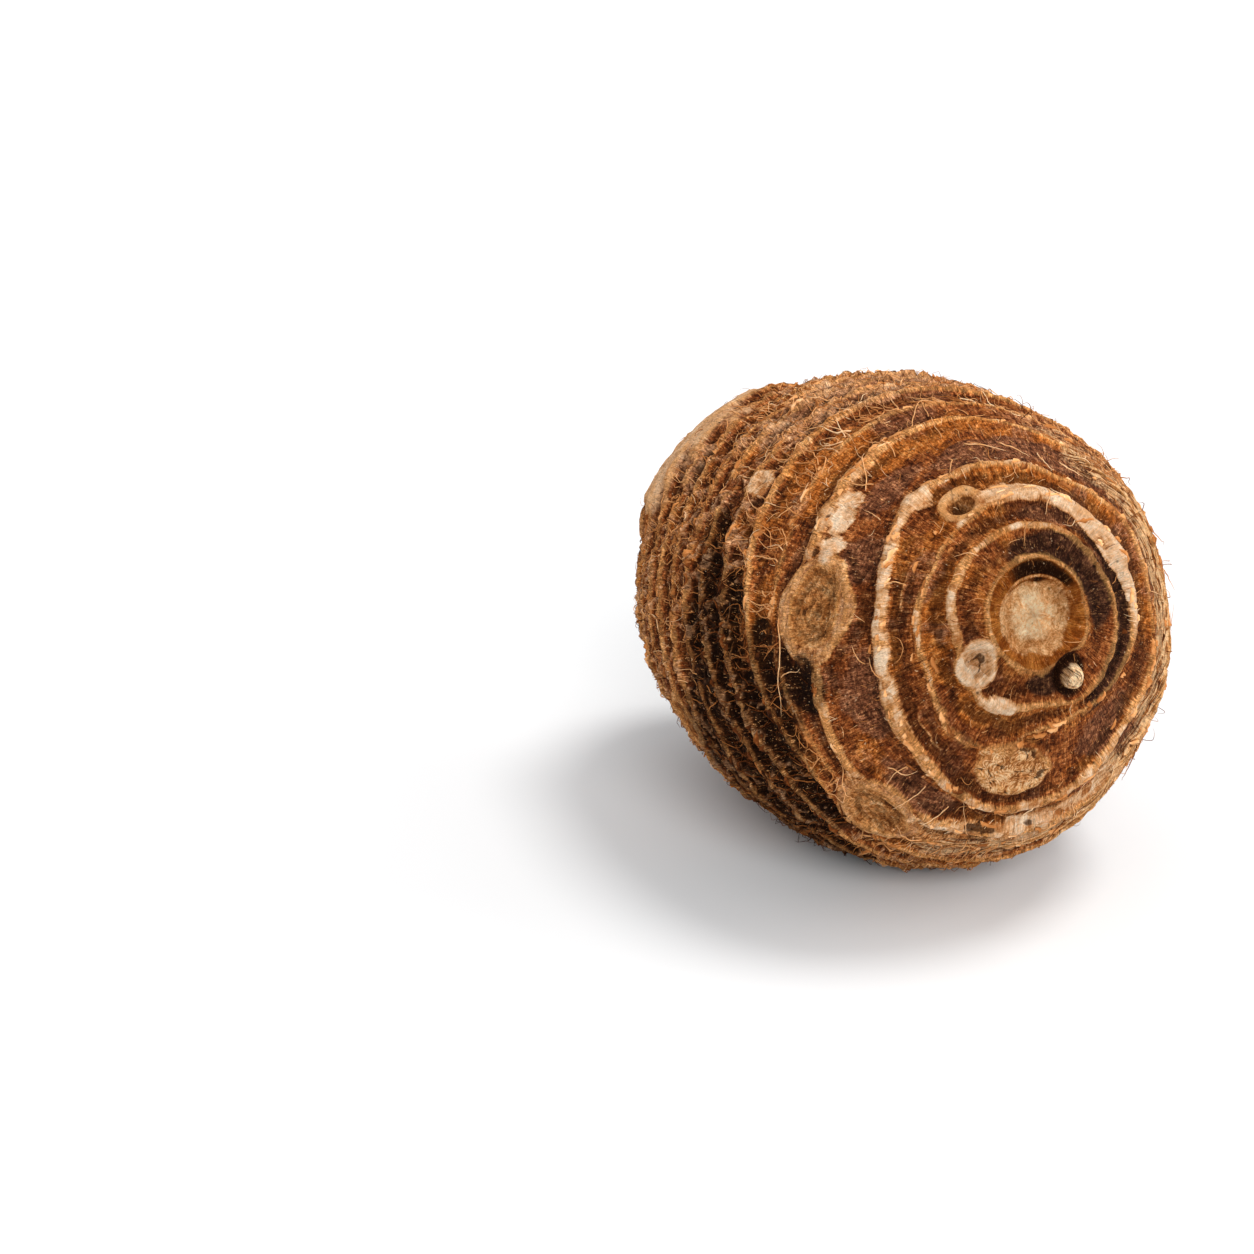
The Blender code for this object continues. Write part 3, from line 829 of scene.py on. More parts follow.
    def add_zones(self):
        drift = fractal(self.spot, 9, 51, 4, 0.6)
        torn = 0.55 * fractal(self.spot, 6, 57, 4, 0.65)
        self.lift("purple", 0.6 * ease(drift, 0.05, 0.4))
        self.lift("orange", 0.65 * ease(-drift, 0.05, 0.35))
        for name, zones, ragged in COLOUR_ZONES:
            self.lift(name, zone_sum(self, zones, ragged * torn))
        patches = zone_sum(self, CREAM_PATCHES, 1.7 * torn)
        self.lift("cream", patches)
        self.lift("gold", 0.8 * patches)
        self.clear(patches, "purple", "hollow_shade")


GRID_ALONG, GRID_ROUND = np.meshgrid(
    np.linspace(0.4, SKIN_TOTAL - 0.4, 230), np.radians(np.arange(240) * 1.5), indexing="ij"
)
LOWEST = float(body_point(GRID_ALONG, GRID_ROUND)[..., 2].min())
BOX_LOW = np.array(CAD_BOX[0]) / MM
BOX_HIGH = np.array(CAD_BOX[1]) / MM


def off_floor(skin):
    """Where the skin lies high enough for threads to grow."""
    return skin.spot[..., 2] - LOWEST > CLEAR_OF_FLOOR


def surface(along, degrees, lift=0.0, proud=-0.02):
    """Points in the row's frame in millimetres, outward directions, and the skin there."""
    skin = Skin(along, degrees)
    rubbed = fade(skin.spot[..., 2] - LOWEST, RUBBED_FROM, RUBBED_TO)
    height = skin.height * (1 - RUBBED_SHARE * rubbed) + lift
    normal = body_normal(skin.along, skin.around)
    points = skin.spot + normal * height[..., None] + np.array(BODY_CENTRE)
    low, high = BOX_LOW - proud, BOX_HIGH + proud
    low[2] = BOX_LOW[2] + LEAST_HEIGHT
    return np.clip(points, low, high), normal, skin


def new_object(name, vertices, faces, material, smooth=True):
    """An object from points in metres."""
    mesh = bpy.data.meshes.new(name)
    mesh.from_pydata(vertices, [], faces)
    mesh.update()
    if smooth:
        mesh.shade_smooth()
    mesh.materials.append(material)
    item = bpy.data.objects.new(name, mesh)
    bpy.context.scene.collection.objects.link(item)
    return item


def colour_attribute(mesh, name, columns):
    attribute = mesh.attributes.new(name, "FLOAT_COLOR", "POINT")
    values = np.stack(columns, axis=-1).astype(np.float32)
    attribute.data.foreach_set("color", values.reshape(-1))


def blurred(values, reach, passes=3):
    """The grid of rows and columns blurred, wrapping round."""
    wide = 2 * reach + 1
    for _ in range(passes):
        values = (values + np.roll(values, 1, 1) + np.roll(values, -1, 1)) / 3
        padded = np.pad(values, ((reach, reach), (0, 0)), "edge")
        sums = np.cumsum(np.pad(padded, ((1, 0), (0, 0))), axis=0)
        values = (sums[wide:] - sums[:-wide]) / wide
    return values


def build_skin(material):
    """The fine skin, with its colour fields as attributes."""
    fine = np.arange(0.35, FINE_TO, ROW_FINE)
    coarse = np.arange(FINE_TO, SKIN_TOTAL - 0.35, ROW_COARSE)
    along, degrees = np.meshgrid(
        np.concatenate([fine, coarse]), np.arange(COLUMNS) * 360 / COLUMNS, indexing="ij"
    )
    points, _, skin = surface(along, degrees)
    # How far each spot stands above its neighbours; the material turns this into painted shade on the low
    # spots and paler gold on the heights.
    skin.fields["relief_shading"] = np.clip(0.5 + (skin.height - blurred(skin.height, 3)) / 0.8, 0, 1)
    rows = len(along)
    ends = np.stack([points[0].mean(axis=0), points[-1].mean(axis=0)])
    vertices = np.concatenate([points.reshape(-1, 3), ends]) * MM
    index = np.arange(rows * COLUMNS).reshape(rows, COLUMNS)
    right = np.roll(index, -1, axis=1)
    quads = np.stack([index[1:], right[1:], right[:-1], index[:-1]], axis=-1).reshape(-1, 4)
    crown, tail = rows * COLUMNS, rows * COLUMNS + 1
    faces = quads.tolist()
    faces += [(crown, int(a), int(b)) for a, b in zip(index[0], right[0])]
    faces += [(tail, int(b), int(a)) for a, b in zip(index[-1], right[-1])]
    item = new_object("taro_skin", vertices.tolist(), faces, material)
    for attribute_name, names in ZONES.items():
        columns = []
        for name in names:
            values = skin.fields[name]
            columns.append(np.concatenate([values.reshape(-1), [values[0].mean(), values[-1].mean()]]))
        columns += [0 * columns[0] + 1] * (4 - len(columns))
        colour_attribute(item.data, attribute_name, columns)
    wrap = wrapped(np.radians(degrees), along).reshape(-1, 3)
    wrap = np.concatenate([wrap, [[0, 0, 0], [0, 0, SKIN_TOTAL]]])
    attribute = item.data.attributes.new("wrap", "FLOAT_VECTOR", "POINT")
    attribute.data.foreach_set("vector", wrap.astype(np.float32).reshape(-1))
    return item


def scattered(draws, count, low=3.0, high=SKIN_TOTAL - 3):
    """Spots spread evenly over the skin's area between two distances from the crown."""
    alongs = np.linspace(low, high, 600)
    weights = np.cumsum(radius_at(alongs))
    along = np.interp(draws.uniform(0, weights[-1], count), weights, alongs)
    return along, draws.uniform(0, 360, count)


def thread_tone(skin):
    """How pale a thread is, from the skin that it grows from."""
    fields = skin.fields
    tone = 0.36 + 0.24 * fields["gold"] + 0.12 * fields["orange"] + 0.12 * fields["cream"]
    # Threads are darker in the dark stain with its painted shadow, and in the painted shade of the hollows.
    tone -= 0.08 * fields["purple"] + 0.2 * fields["charcoal"] + 0.4 * fields["stain_and_shadow"]
    return tone - 0.1 * fields["hollow_shade"]


def chosen(draws, count, weigh, low=3.0, high=SKIN_TOTAL - 3):
    """Spots picked by a weight from 0 to 1 worked out from the skin there, and their tones."""
    along, degrees = scattered(draws, count * 4, low, high)
    skin = Skin(along, degrees)
    keep = draws.uniform(0, 1, len(along)) < weigh(skin)
    keep &= off_floor(skin)
    along, degrees, tones = along[keep][:count], degrees[keep][:count], thread_tone(skin)[keep][:count]
    return along, degrees, tones


def paths_over(draws, along, degrees, headings, lengths, curl, steps):
    """Paths over the skin from each spot: (along, round), each in rows of so many steps."""
    count = len(along)
    path_along, path_round = [along], [degrees]
    bend = draws.normal(0, curl, count)
    for _ in range(steps - 1):
        stride = lengths / (steps - 1)
        headings = headings + bend * stride + draws.normal(0, 0.16, count)
        nearer = np.clip(path_along[-1] + np.cos(headings) * stride, 0.8, SKIN_TOTAL - 0.8)
        turn = np.degrees(np.sin(headings) * stride / np.maximum(radius_at(nearer), 2))
        path_along.append(nearer)
        path_round.append(path_round[-1] + turn)
    return np.stack(path_along, axis=1), np.stack(path_round, axis=1)


def tinted(name, vertices, faces, material, tones, run):
    """A mesh of threads or leaves with each one's tint, and 0 to 1 from its root to its tip."""
    item = new_object(name, (vertices.reshape(-1, 3) * MM).tolist(), faces, material)
    tone = np.repeat(tones, len(run) // len(tones))
    colour_attribute(item.data, "tint", [tone, run, 0 * tone, 0 * tone + 1])
    return item


def strands(name, material, path_along, path_round, lifts, thick, tones):
    """One mesh of three-sided threads along the paths, each closed at both ends."""
    points, normals, _ = surface(path_along, path_round, lifts, PROUD)
    count, steps, _ = points.shape
    ahead = np.gradient(points, axis=1)
    ahead /= np.maximum(np.linalg.norm(ahead, axis=-1, keepdims=True), 1e-6)
    aside = np.cross(ahead, normals)
    aside /= np.maximum(np.linalg.norm(aside, axis=-1, keepdims=True), 1e-6)
    above = np.cross(aside, ahead)
    taper = 1 - 0.75 * np.linspace(0, 1, steps) ** 2
    radius = thick[:, None] * taper
    corners = []
    for turn in (90, 210, 330):
        offset = math.cos(math.radians(turn)) * aside + math.sin(math.radians(turn)) * above
        corners.append(points + offset * radius[..., None])
    ring = np.stack(corners, axis=2)
    ring[..., 2] = np.maximum(ring[..., 2], LEAST_HEIGHT)
    index = np.arange(count * steps * 3).reshape(count, steps, 3)
    faces = []
    for side in range(3):
        other = (side + 1) % 3
        quads = np.stack(
            [index[:, :-1, side], index[:, :-1, other], index[:, 1:, other], index[:, 1:, side]], axis=-1
        )
        faces += quads.reshape(-1, 4).tolist()
    faces += index[:, 0, ::-1].tolist()
    faces += index[:, -1, :].tolist()
    run = np.tile(np.repeat(np.linspace(0, 1, steps), 3), count)
    return tinted(name, ring, faces, material, tones, run)


def fuzz_weight(skin):
    fields = skin.fields
    weight = 0.28 + 0.5 * fields["gold"] + 0.35 * fields["orange"] + 0.3 * fields["hollow_shade"]
    weight += 0.3 * ease(fractal(skin.spot, 8, 301, 3), 0, 0.4)
    calm = np.maximum(np.maximum(fields["disc"], fields["pad"]), 0.85 * fields["scar"])
    weight *= 0.45 + 0.55 * ease(skin.along, 32, 62)
    return weight * (1 - 0.95 * calm) * (1 - 0.6 * fields["cream"])


def net_weight(skin):
    past = ease(skin.along - skin.rings[NET_AFTER_RING][0], 4, 16)
    calm = np.maximum(np.maximum(skin.fields["tail"], skin.fields["pad"]), skin.fields["scar"])
    return past * (0.35 + 0.6 * skin.fields["gold"]) * (1 - 0.95 * calm)


def arched(draws, count, share, root, rise, power, tip, tip_power):
    """Lifts of threads that rise from a root, with a tip that stands off or lies down."""
    lifts = root + draws.uniform(*rise, (count, 1)) * np.sin(np.pi * share) ** power
    middle, spread, least, most = tip
    return lifts + np.clip(draws.normal(middle, spread, (count, 1)), least, most) * share**tip_power


def standing(draws, count, share, root, peak, bend):
    """Lifts of hairs that stand off the skin and bend over."""
    peaks = draws.uniform(*peak, (count, 1))
    return root + peaks * np.sin(0.5 * np.pi * share * draws.uniform(*bend, (count, 1)))


def grown(name, material, seed, count, weigh, span, length, heading, curl, steps, lift, thick, tone):
    """Threads that grow by chance where the weight lets them, as one mesh.

    The lengths and tones are a middle, a spread and two limits, and a length's middle and
    spread are logarithms. The heading is a spread about tailwards and the share turned
    round, or none for any way. The thickness is a radius and its two limits as shares.
    """
    draws = np.random.default_rng(seed)
    along, degrees, base = chosen(draws, count, weigh, *span)
    count = len(along)
    lengths = np.clip(draws.lognormal(*length[:2], count), *length[2:])
    if heading is None:
        headings = draws.uniform(-np.pi, np.pi, count)
    else:
        headings = draws.normal(0, heading[0], count) + np.pi * (draws.uniform(0, 1, count) < heading[1])
    path_along, path_round = paths_over(draws, along, degrees, headings, lengths, curl, steps)
    shape, *sizes = lift
    lifts = shape(draws, count, np.linspace(0, 1, steps), *sizes)
    radii = thick[0] * draws.uniform(*thick[1:], count)
    tones = np.clip(base + draws.normal(*tone[:2], count), *tone[2:])
    return strands(name, material, path_along, path_round, lifts, radii, tones)


def build_fuzz(material):
    """Short curled threads all over the skin, pale, tan and dark."""
    lift = (arched, -0.04, (0.03, 0.25), 0.7, (-0.2, 0.25, -0.1, 1), 2)
    kinds = (
        ("fuzz_pale", 401, 2000, 0.085, 0.3, 0.12),
        ("fuzz_tan", 402, 1300, 0.07, 0.06, 0.1),
        ("fuzz_dark", 403, 1300, 0.08, -0.22, 0.08),
    )
    return [
        grown(
            name, material, seed, count, fuzz_weight, (), (0.65, 0.5, 0.8, 5.5), (0.42, 0.5), 0.25, 6,
            lift, (thick, 0.6, 1.2), (tone, spread, 0.02, 1),
        )
        for name, seed, count, thick, tone, spread in kinds
    ]


def build_net_curls(material):
    """Curled threads where the net's walls have frayed."""
    lift = (arched, -0.05, (0.1, 0.45), 0.7, (0.05, 0.3, -0.1, 0.9), 2)
    return grown(
        "net_curls", material, 411, 1400, net_weight, (50,), (0.85, 0.4, 1.2, 5.5), None, 0.8, 7,
        lift, (0.1, 0.6, 1.3), (0.08, 0.15, 0.05, 1),
    )


def build_long_fibres(material):
    """Long threads that run from one ring towards the next, and a few that lie across."""
    lift = (arched, 0.02, (0.05, 0.5), 1, (0, 0.5, -0.05, 1.8), 3)
    return grown(
        "long_fibres", material, 421, 240, fuzz_weight, (18, 150), (1.75, 0.35, 3.5, 13), (0.45, 0.3), 0.05,
        13, lift, (0.11, 0.7, 1.3), (0.24, 0.14, 0.1, 1),
    )


def build_hairs(material):
    """Loose hairs that stand off the skin and show on its outline."""
    lift = (standing, -0.05, (0.5, 2.2), (1, 1.9))
    return grown(
        "loose_hairs", material, 441, 420, fuzz_weight, (22,), (1.15, 0.4, 1.6, 7), None, 0.5, 10,
        lift, (0.085, 0.7, 1.2), (0, 0.15, 0.03, 1),
    )


def build_net_walls(material):
    """Torn walls of the net, each a thread from one ring to the next."""
    draws = np.random.default_rng(461)
    count, steps = 3200, 7
    degrees = draws.uniform(0, 360, count)
    lines = np.stack([line for line, _, _ in ring_lines(degrees, np.random.default_rng(SEED))])
    which, every = draws.integers(NET_AFTER_RING, len(lines) - 1, count), np.arange(count)
    first, gap = lines[which, every], lines[which + 1, every] - lines[which, every]
    skin = Skin(first + 0.5 * gap, degrees)
    keep = off_floor(skin) & (skin.fields["pad"] < 0.4)
    keep &= (skin.fields["scar"] < 0.5) & (skin.fields["tail"] < 0.5)
    tones = np.clip(thread_tone(skin) + draws.normal(0.24, 0.13, count), 0.05, 0.95)[keep]
    first, gap, degrees, count = first[keep], gap[keep], degrees[keep], int(keep.sum())
    share = np.linspace(0, 1, steps)
    start, end = draws.uniform(-0.1, 0.35, (count, 1)), draws.uniform(0.55, 1.1, (count, 1))
    path_along = first[:, None] + gap[:, None] * (start + (end - start) * share)
    bow, drift = draws.normal(0, 1.1, (count, 1)), draws.normal(0, 1.2, (count, 1))
    swing = bow * np.sin(np.pi * share) + drift * share
    swing = swing + np.cumsum(draws.normal(0, 0.22, (count, steps)), axis=1)
    path_round = degrees[:, None] + np.degrees(swing / radius_at(first)[:, None])
    lifts = 0.02 + draws.uniform(0, 0.35, (count, 1)) * np.sin(np.pi * share) ** 0.6
    radii = 0.15 * draws.uniform(0.6, 1.4, count)
    path_along = np.clip(path_along, 1, SKIN_TOTAL - 1)
    return strands("net_walls", material, path_along, path_round, lifts, radii, tones)


def build_named_fibres(material):
    """The threads that stand out one by one: from, heading, length, lift at the tip, tone."""
    draws = np.random.default_rng(431)
    along, degrees, headings, lengths, tips, tones = np.array(NAMED_FIBRES).T
    steps = 16
    path_along, path_round = paths_over(draws, along, degrees, np.radians(headings), lengths, 0.04, steps)
    share = np.linspace(0, 1, steps)
    lifts = 0.05 + 0.35 * np.sin(np.pi * share) + tips[:, None] * share**2
    radii = np.full(len(tones), 0.14)
    return strands("named_fibres", material, path_along, path_round, lifts, radii, tones)


def leaf_faces(wide, deep):
    """The faces of one thin closed leaf: its top, its underside and its rim."""
    per = wide * deep
    spot = np.arange(per).reshape(wide, deep)
    faces = []
    for i in range(wide - 1):
        for j in range(deep - 1):
            a, b, c, d = spot[i, j], spot[i + 1, j], spot[i + 1, j + 1], spot[i, j + 1]
            faces.append((a, b, c, d))
            faces.append((d + per, c + per, b + per, a + per))
    rim = [spot[i, 0] for i in range(wide)] + [spot[-1, j] for j in range(1, deep)]
    rim += [spot[i, -1] for i in range(wide - 2, -1, -1)] + [spot[0, j] for j in range(deep - 2, 0, -1)]
    for here, there in zip(rim, rim[1:] + rim[:1]):
        faces.append((there, here, here + per, there + per))
    return np.array(faces)


def leaf_spots(draws, at, degrees, wide, deep):
    """Grids of spots for thin leaves that start at each place: along, round and lift."""
    count = len(at)
    widths = np.clip(draws.lognormal(0.45, 0.45, count), 0.7, 4)[:, None]
    depths = draws.uniform(0.3, 0.8, count)[:, None, None]
    stand = draws.uniform(0.08, 0.4, count)[:, None, None]
    across = np.linspace(-0.5, 0.5, wide)
    out = np.linspace(0, 1, deep)
    ragged = 1 + 0.35 * draws.uniform(-1, 1, (count, wide))
    ragged[:, (0, -1)] *= 0.3
    slant = draws.normal(0, 0.5, count)[:, None]
    shift = at[:, None, None] + depths * ragged[:, :, None] * out
    shift = shift + (slant * across * widths * 0.4)[:, :, None]
    turn = np.degrees(across * widths / radius_at(at)[:, None])
    round_at = np.repeat((degrees[:, None] + turn)[:, :, None], deep, axis=2)
    return np.clip(shift, 1, SKIN_TOTAL - 1), round_at, 0.03 + stand * ragged[:, :, None] * out**1.4


def build_flakes(material):
    """Papery shreds of old leaf bases along the rings, each a thin closed leaf."""
    draws = np.random.default_rng(451)
    count, wide, deep = 1100, 7, 3
    degrees = draws.uniform(0, 360, count)
    rings = ring_lines(degrees, np.random.default_rng(SEED))
    lines = np.stack([line for line, _, _ in rings])
    which = draws.integers(2, len(rings), count)
    at = lines[which, np.arange(count)] + draws.normal(0, 0.5, count)
    stray = draws.uniform(0, 1, count) < 0.3
    at = np.where(stray, at + draws.uniform(-4, 4, count), at)
    spots = leaf_spots(draws, at, degrees, wide, deep)
    skin = Skin(at, degrees)
    good = off_floor(skin) & (skin.fields["pad"] < 0.4) & (skin.fields["disc"] < 0.1)
    good &= (skin.fields["scar"] < 0.6) & (skin.fields["tail"] < 0.6)
    top, normals, _ = surface(*[values[good] for values in spots], PROUD)
    low = top - normals * LEAF_THICKNESS
    low[..., 2] = np.maximum(low[..., 2], LEAST_HEIGHT)
    count = len(top)
    per = wide * deep
    vertices = np.concatenate([top.reshape(count, per, 3), low.reshape(count, per, 3)], axis=1)
    faces = np.arange(count)[:, None, None] * (2 * per) + leaf_faces(wide, deep)
    tones = np.clip(thread_tone(skin)[good] + draws.normal(0.02, 0.12, count), 0.05, 0.8)
    run = np.tile(np.tile(np.linspace(0, 1, deep), wide), 2 * count)
    return tinted("ring_flakes", vertices, faces.reshape(-1, 4).tolist(), material, tones, run)


def srgb(red, green, blue):
    """A colour given as a screen shows it."""

    def linear(value):
        value /= 255
        return value / 12.92 if value <= 0.04045 else ((value + 0.055) / 1.055) ** 2.4

    return (linear(red), linear(green), linear(blue), 1)


class Graph:
    """Short calls for building a material's nodes."""

    def __init__(self, name):
        self.material = bpy.data.materials.new(name)
        self.material.use_nodes = True
        self.tree = self.material.node_tree
        self.shader = self.tree.nodes["Principled BSDF"]

    def put(self, socket, value):
        if hasattr(value, "is_output"):
            self.tree.links.new(value, socket)
        elif value is not None:
            socket.default_value = value

    def node(self, kind, inputs=None, **settings):
        """The outputs of a new node, with each input a value or another node's output."""
        node = self.tree.nodes.new("ShaderNode" + kind)
        for name, value in settings.items():
            setattr(node, name, value)
        for name, value in (inputs or {}).items():
            self.put(node.inputs[name], value)
        return node.outputs

    def attribute(self, name):
        return self.node("Attribute", attribute_name=name)

    def split(self, colour):
        return self.node("SeparateColor", {0: colour})

    def coordinates(self):
        return self.node("TexCoord")["Object"]

    def scaled(self, vector, scale):
        return self.node("Mapping", {"Vector": vector, "Scale": scale})[0]

    def noise(self, vector, scale, detail, rough=0.55, distort=0):
        names = ("Vector", "Scale", "Detail", "Roughness", "Distortion")
        return self.node("TexNoise", dict(zip(names, (vector, scale, detail, rough, distort))))["Fac"]

    def voronoi(self, vector, scale):
        return self.node("TexVoronoi", {"Vector": vector, "Scale": scale})

    def math(self, operation, a, b):
        return self.node("Math", {0: a, 1: b}, operation=operation)[0]

    def times(self, a, b):
        return self.math("MULTIPLY", a, b)

    def plus(self, *values):
        total = values[0]
        for value in values[1:]:
            total = self.math("ADD", total, value)
        return total

    def signed(self, value, size):
        """A value from 0 to 1 as one of this size about 0."""
        return self.times(self.math("SUBTRACT", value, 0.5), size)

    def contours(self, value, turns):
        """0 to 1 and back, this many times over the value's range: lines like swirling fibres."""
        return self.times(self.math("PINGPONG", self.times(value, turns), 0.5), 2)

    def step(self, value, low, high, out_low=0, out_high=1):
        inputs = {"Value": value, "From Min": low, "From Max": high, "To Min": out_low, "To Max": out_high}
        return self.node("MapRange", inputs, interpolation_type="SMOOTHSTEP")[0]

    def mix(self, a, b, share, blend="MIX"):
        return self.node("Mix", {0: share, 6: a, 7: b}, data_type="RGBA", blend_type=blend)[2]

    def ramp(self, value, *stops):
        node = self.tree.nodes.new("ShaderNodeValToRGB")
        self.put(node.inputs[0], value)
        ramp = node.color_ramp
        while len(ramp.elements) < len(stops):
            ramp.elements.new(0.5)
        for element, (at, colour) in zip(ramp.elements, stops):
            element.position = at
            element.color = srgb(*colour)
        return node.outputs[0]

    def bumped(self, height, strength, distance):
        node = self.tree.nodes.new("ShaderNodeBump")
        node.inputs["Strength"].default_value = strength
        node.inputs["Distance"].default_value = distance
        self.put(node.inputs["Height"], height)
        return node.outputs[0]

    def finish(self, colour, rough, normal=None, specular=0.3):
        self.put(self.shader.inputs["Base Color"], colour)
        self.put(self.shader.inputs["Roughness"], rough)
        self.put(self.shader.inputs["Normal"], normal)
        self.shader.inputs["Specular IOR Level"].default_value = specular
        self.shader.inputs["IOR"].default_value = 1.2
        return self.material


BROWN = ((0.14, (48, 18, 5)), (0.38, (102, 48, 20)), (0.58, (148, 80, 38)), (0.88, (202, 128, 72)))
PURPLE = ((0.14, (48, 22, 13)), (0.4, (98, 55, 34)), (0.6, (138, 84, 55)), (0.88, (194, 134, 94)))
ORANGE = ((0.14, (84, 36, 8)), (0.38, (142, 73, 24)), (0.6, (182, 104, 44)), (0.88, (220, 152, 84)))
CHARCOAL = ((0.18, (26, 11, 5)), (0.48, (62, 34, 22)), (0.85, (116, 74, 50)))
GOLD = ((0.14, (118, 60, 20)), (0.38, (172, 106, 54)), (0.6, (214, 154, 98)), (0.85, (238, 194, 144)))
CORK = ((0.12, (164, 98, 50)), (0.36, (208, 152, 102)), (0.58, (232, 186, 144)), (0.85, (248, 220, 188)))
SCAR = ((0.14, (98, 50, 18)), (0.38, (156, 94, 46)), (0.6, (194, 132, 76)), (0.88, (228, 180, 126)))
GREY = ((0.14, (116, 68, 42)), (0.4, (166, 114, 78)), (0.62, (200, 148, 108)), (0.88, (228, 188, 150)))
WALL = ((0.2, (59, 22, 4)), (0.45, (136, 67, 17)), (0.75, (204, 130, 58)))
PITH = ((0.18, (206, 122, 58)), (0.42, (246, 176, 112)), (0.6, (255, 206, 152)), (0.82, (255, 228, 186)))
RIND = ((0.18, (132, 74, 34)), (0.42, (188, 121, 66)), (0.6, (220, 160, 103)), (0.85, (243, 203, 155)))
SMOOTH = ((0.15, (150, 98, 60)), (0.38, (200, 148, 104)), (0.6, (228, 180, 136)), (0.85, (244, 208, 170)))
THREAD = (
    (0.05, (34, 14, 5)),
    (0.3, (104, 54, 22)),
    (0.55, (182, 116, 62)),
    (0.8, (222, 162, 106)),
    (1, (242, 206, 162)),
)


class Bark(Graph):
    """The skin's material: fields, patterns, and a colour that one layer after another covers."""

    def __init__(self):
        super().__init__("taro_skin")
        self.fields = {}
        for attribute_name, names in ZONES.items():
            node = self.attribute(attribute_name)
            outs = list(self.split(node["Color"]))[:3] + [node["Alpha"]]
            self.fields.update(zip(names, outs))
        self.spot = self.coordinates()
        self.wrap = self.attribute("wrap")["Vector"]
        self.patterns = self.all_patterns()
        self.torn = self.blend(0, mid=0.55, lengthwise=0.9, fine=0.25)

    def all_patterns(self):
        """Patterns from 0 to 1: spots of several sizes, fibres both ways, lines and shards."""
        lengthwise = self.fibrous(1.6, 0.2, 5, 0.72, 0.9)
        crosswise = self.fibrous(0.22, 1.4, 5, 0.72, 0.9)
        return {
            "fine": self.noise(self.spot, 1300, 4, 0.65, 0.6),
            "mid": self.noise(self.spot, 300, 5, 0.64, 0.5),
            "blotch": self.noise(self.spot, 150, 3, 0.6, 1.2),
            "swirl": self.contours(self.noise(self.spot, 230, 2, 0.5, 2.4), 7),
            "curl": self.contours(self.noise(self.spot, 420, 2, 0.55, 3), 4),
            "lengthwise": lengthwise,
            "streaks": self.times(self.plus(lengthwise, crosswise), 0.5),
            "wisps": self.fibrous(2.4, 0.34, 3, 0.6, 1.6),
            "ply": self.contours(self.fibrous(0.1, 0.9, 3, 0.55, 0.6), 5),
            "grit": self.fibrous(4.2, 1.3, 2, 0.6, 0.8),
            "shards": self.split(self.voronoi(self.spot, 330)["Color"])[0],
        }

    def fibrous(self, around, along, *detail):
        """A pattern with so many cells to the millimetre round the root and along it."""
        return self.noise(self.scaled(self.wrap, (around, around, along)), 1, *detail)

    def blend(self, base, **sizes):
        """A base value with patterns added, each about 0 and of its own size."""
        return self.plus(*[self.signed(self.patterns[name], size) for name, size in sizes.items()], base)

    def zone(self, name, tear, low, high, *reach):
        """How much of a field shows, with its edges torn by this much."""
        return self.step(self.plus(self.fields[name], self.times(self.torn, tear)), low, high, *reach)

    def lay(self, above, share, blend="MIX"):
        self.colour = self.mix(self.colour, above, share, blend)

    def lay_bark(self):
        """Brown, orange, purple, dark and golden bark, with bare cork over it."""
        tone = self.blend(0.5, streaks=1.6, lengthwise=0.5, mid=0.9, fine=0.6)
        self.colour = self.ramp(tone, *BROWN)
        self.lay(self.ramp(tone, *ORANGE), self.zone("orange", 1, 0.25, 0.75))
        self.lay(self.ramp(tone, *PURPLE), self.zone("purple", 1, 0.35, 0.75))
        self.lay(self.ramp(tone, *CHARCOAL), self.zone("charcoal", 0.6, 0.3, 0.75))
        self.gold = self.ramp(self.blend(0.5, streaks=1.7, mid=0.7, fine=0.6), *GOLD)
        self.lay(self.gold, self.zone("gold", 1, 0.35, 0.85, 0, 0.95))
        bare = self.plus(self.blend(self.fields["cream"], shards=0.35), self.times(self.torn, 0.8))
        inner = self.step(bare, 0.45, 1, 0.28, 0.62)
        self.cork = self.ramp(self.blend(inner, streaks=1.3, mid=1, shards=0.2, blotch=0.9), *CORK)
        self.shown_bare = self.step(bare, 0.34, 0.6)
        self.lay(self.cork, self.shown_bare)

    def lay_scars(self):
        """Scars, papery layers, the callus, the tail's scar and the bald patch."""
        tone = self.blend(0.5, mid=1.4, blotch=0.8, swirl=0.2, fine=0.4)
        self.lay(self.ramp(tone, *SCAR), self.zone("scar", 1, 0.35, 0.7))
        self.lay(self.ramp(tone, *GREY), self.zone("grey", 1, 0.35, 0.95))
        leaves = self.blend(0.62, ply=1.3, mid=0.8, fine=0.4, blotch=1.1)
        self.shown_leaves = self.zone("layers", 1, 0.3, 0.8, 0, 0.92)
        self.lay(self.ramp(leaves, (0, (66, 32, 18)), *GOLD), self.shown_leaves)
        rosy = self.ramp(self.blend(0.6, mid=1.2, fine=0.5), *RIND)
        self.lay(self.mix(rosy, self.cork, 0.45), self.zone("pink", 1, 0.35, 0.75))
        self.lay(self.cork, self.zone("scar_line", 1, 0.5, 0.95, 0, 0.8))
        knot = self.plus(self.signed(self.fields["callus"], 0.3), 0.42)
        knot = self.blend(knot, mid=1.3, blotch=1.2, swirl=0.55, fine=0.4)
        self.lay(self.ramp(knot, *RIND), self.zone("callus", 1, 0.35, 0.95))
        self.lay(self.ramp(tone, *RIND), self.zone("tail", 1, 0.4, 0.8))
        bald = self.blend(0.5, streaks=1.5, blotch=0.9, mid=0.7)
        self.lay(self.ramp(bald, *SMOOTH), self.zone("pad", 0.6, 0.3, 0.85))

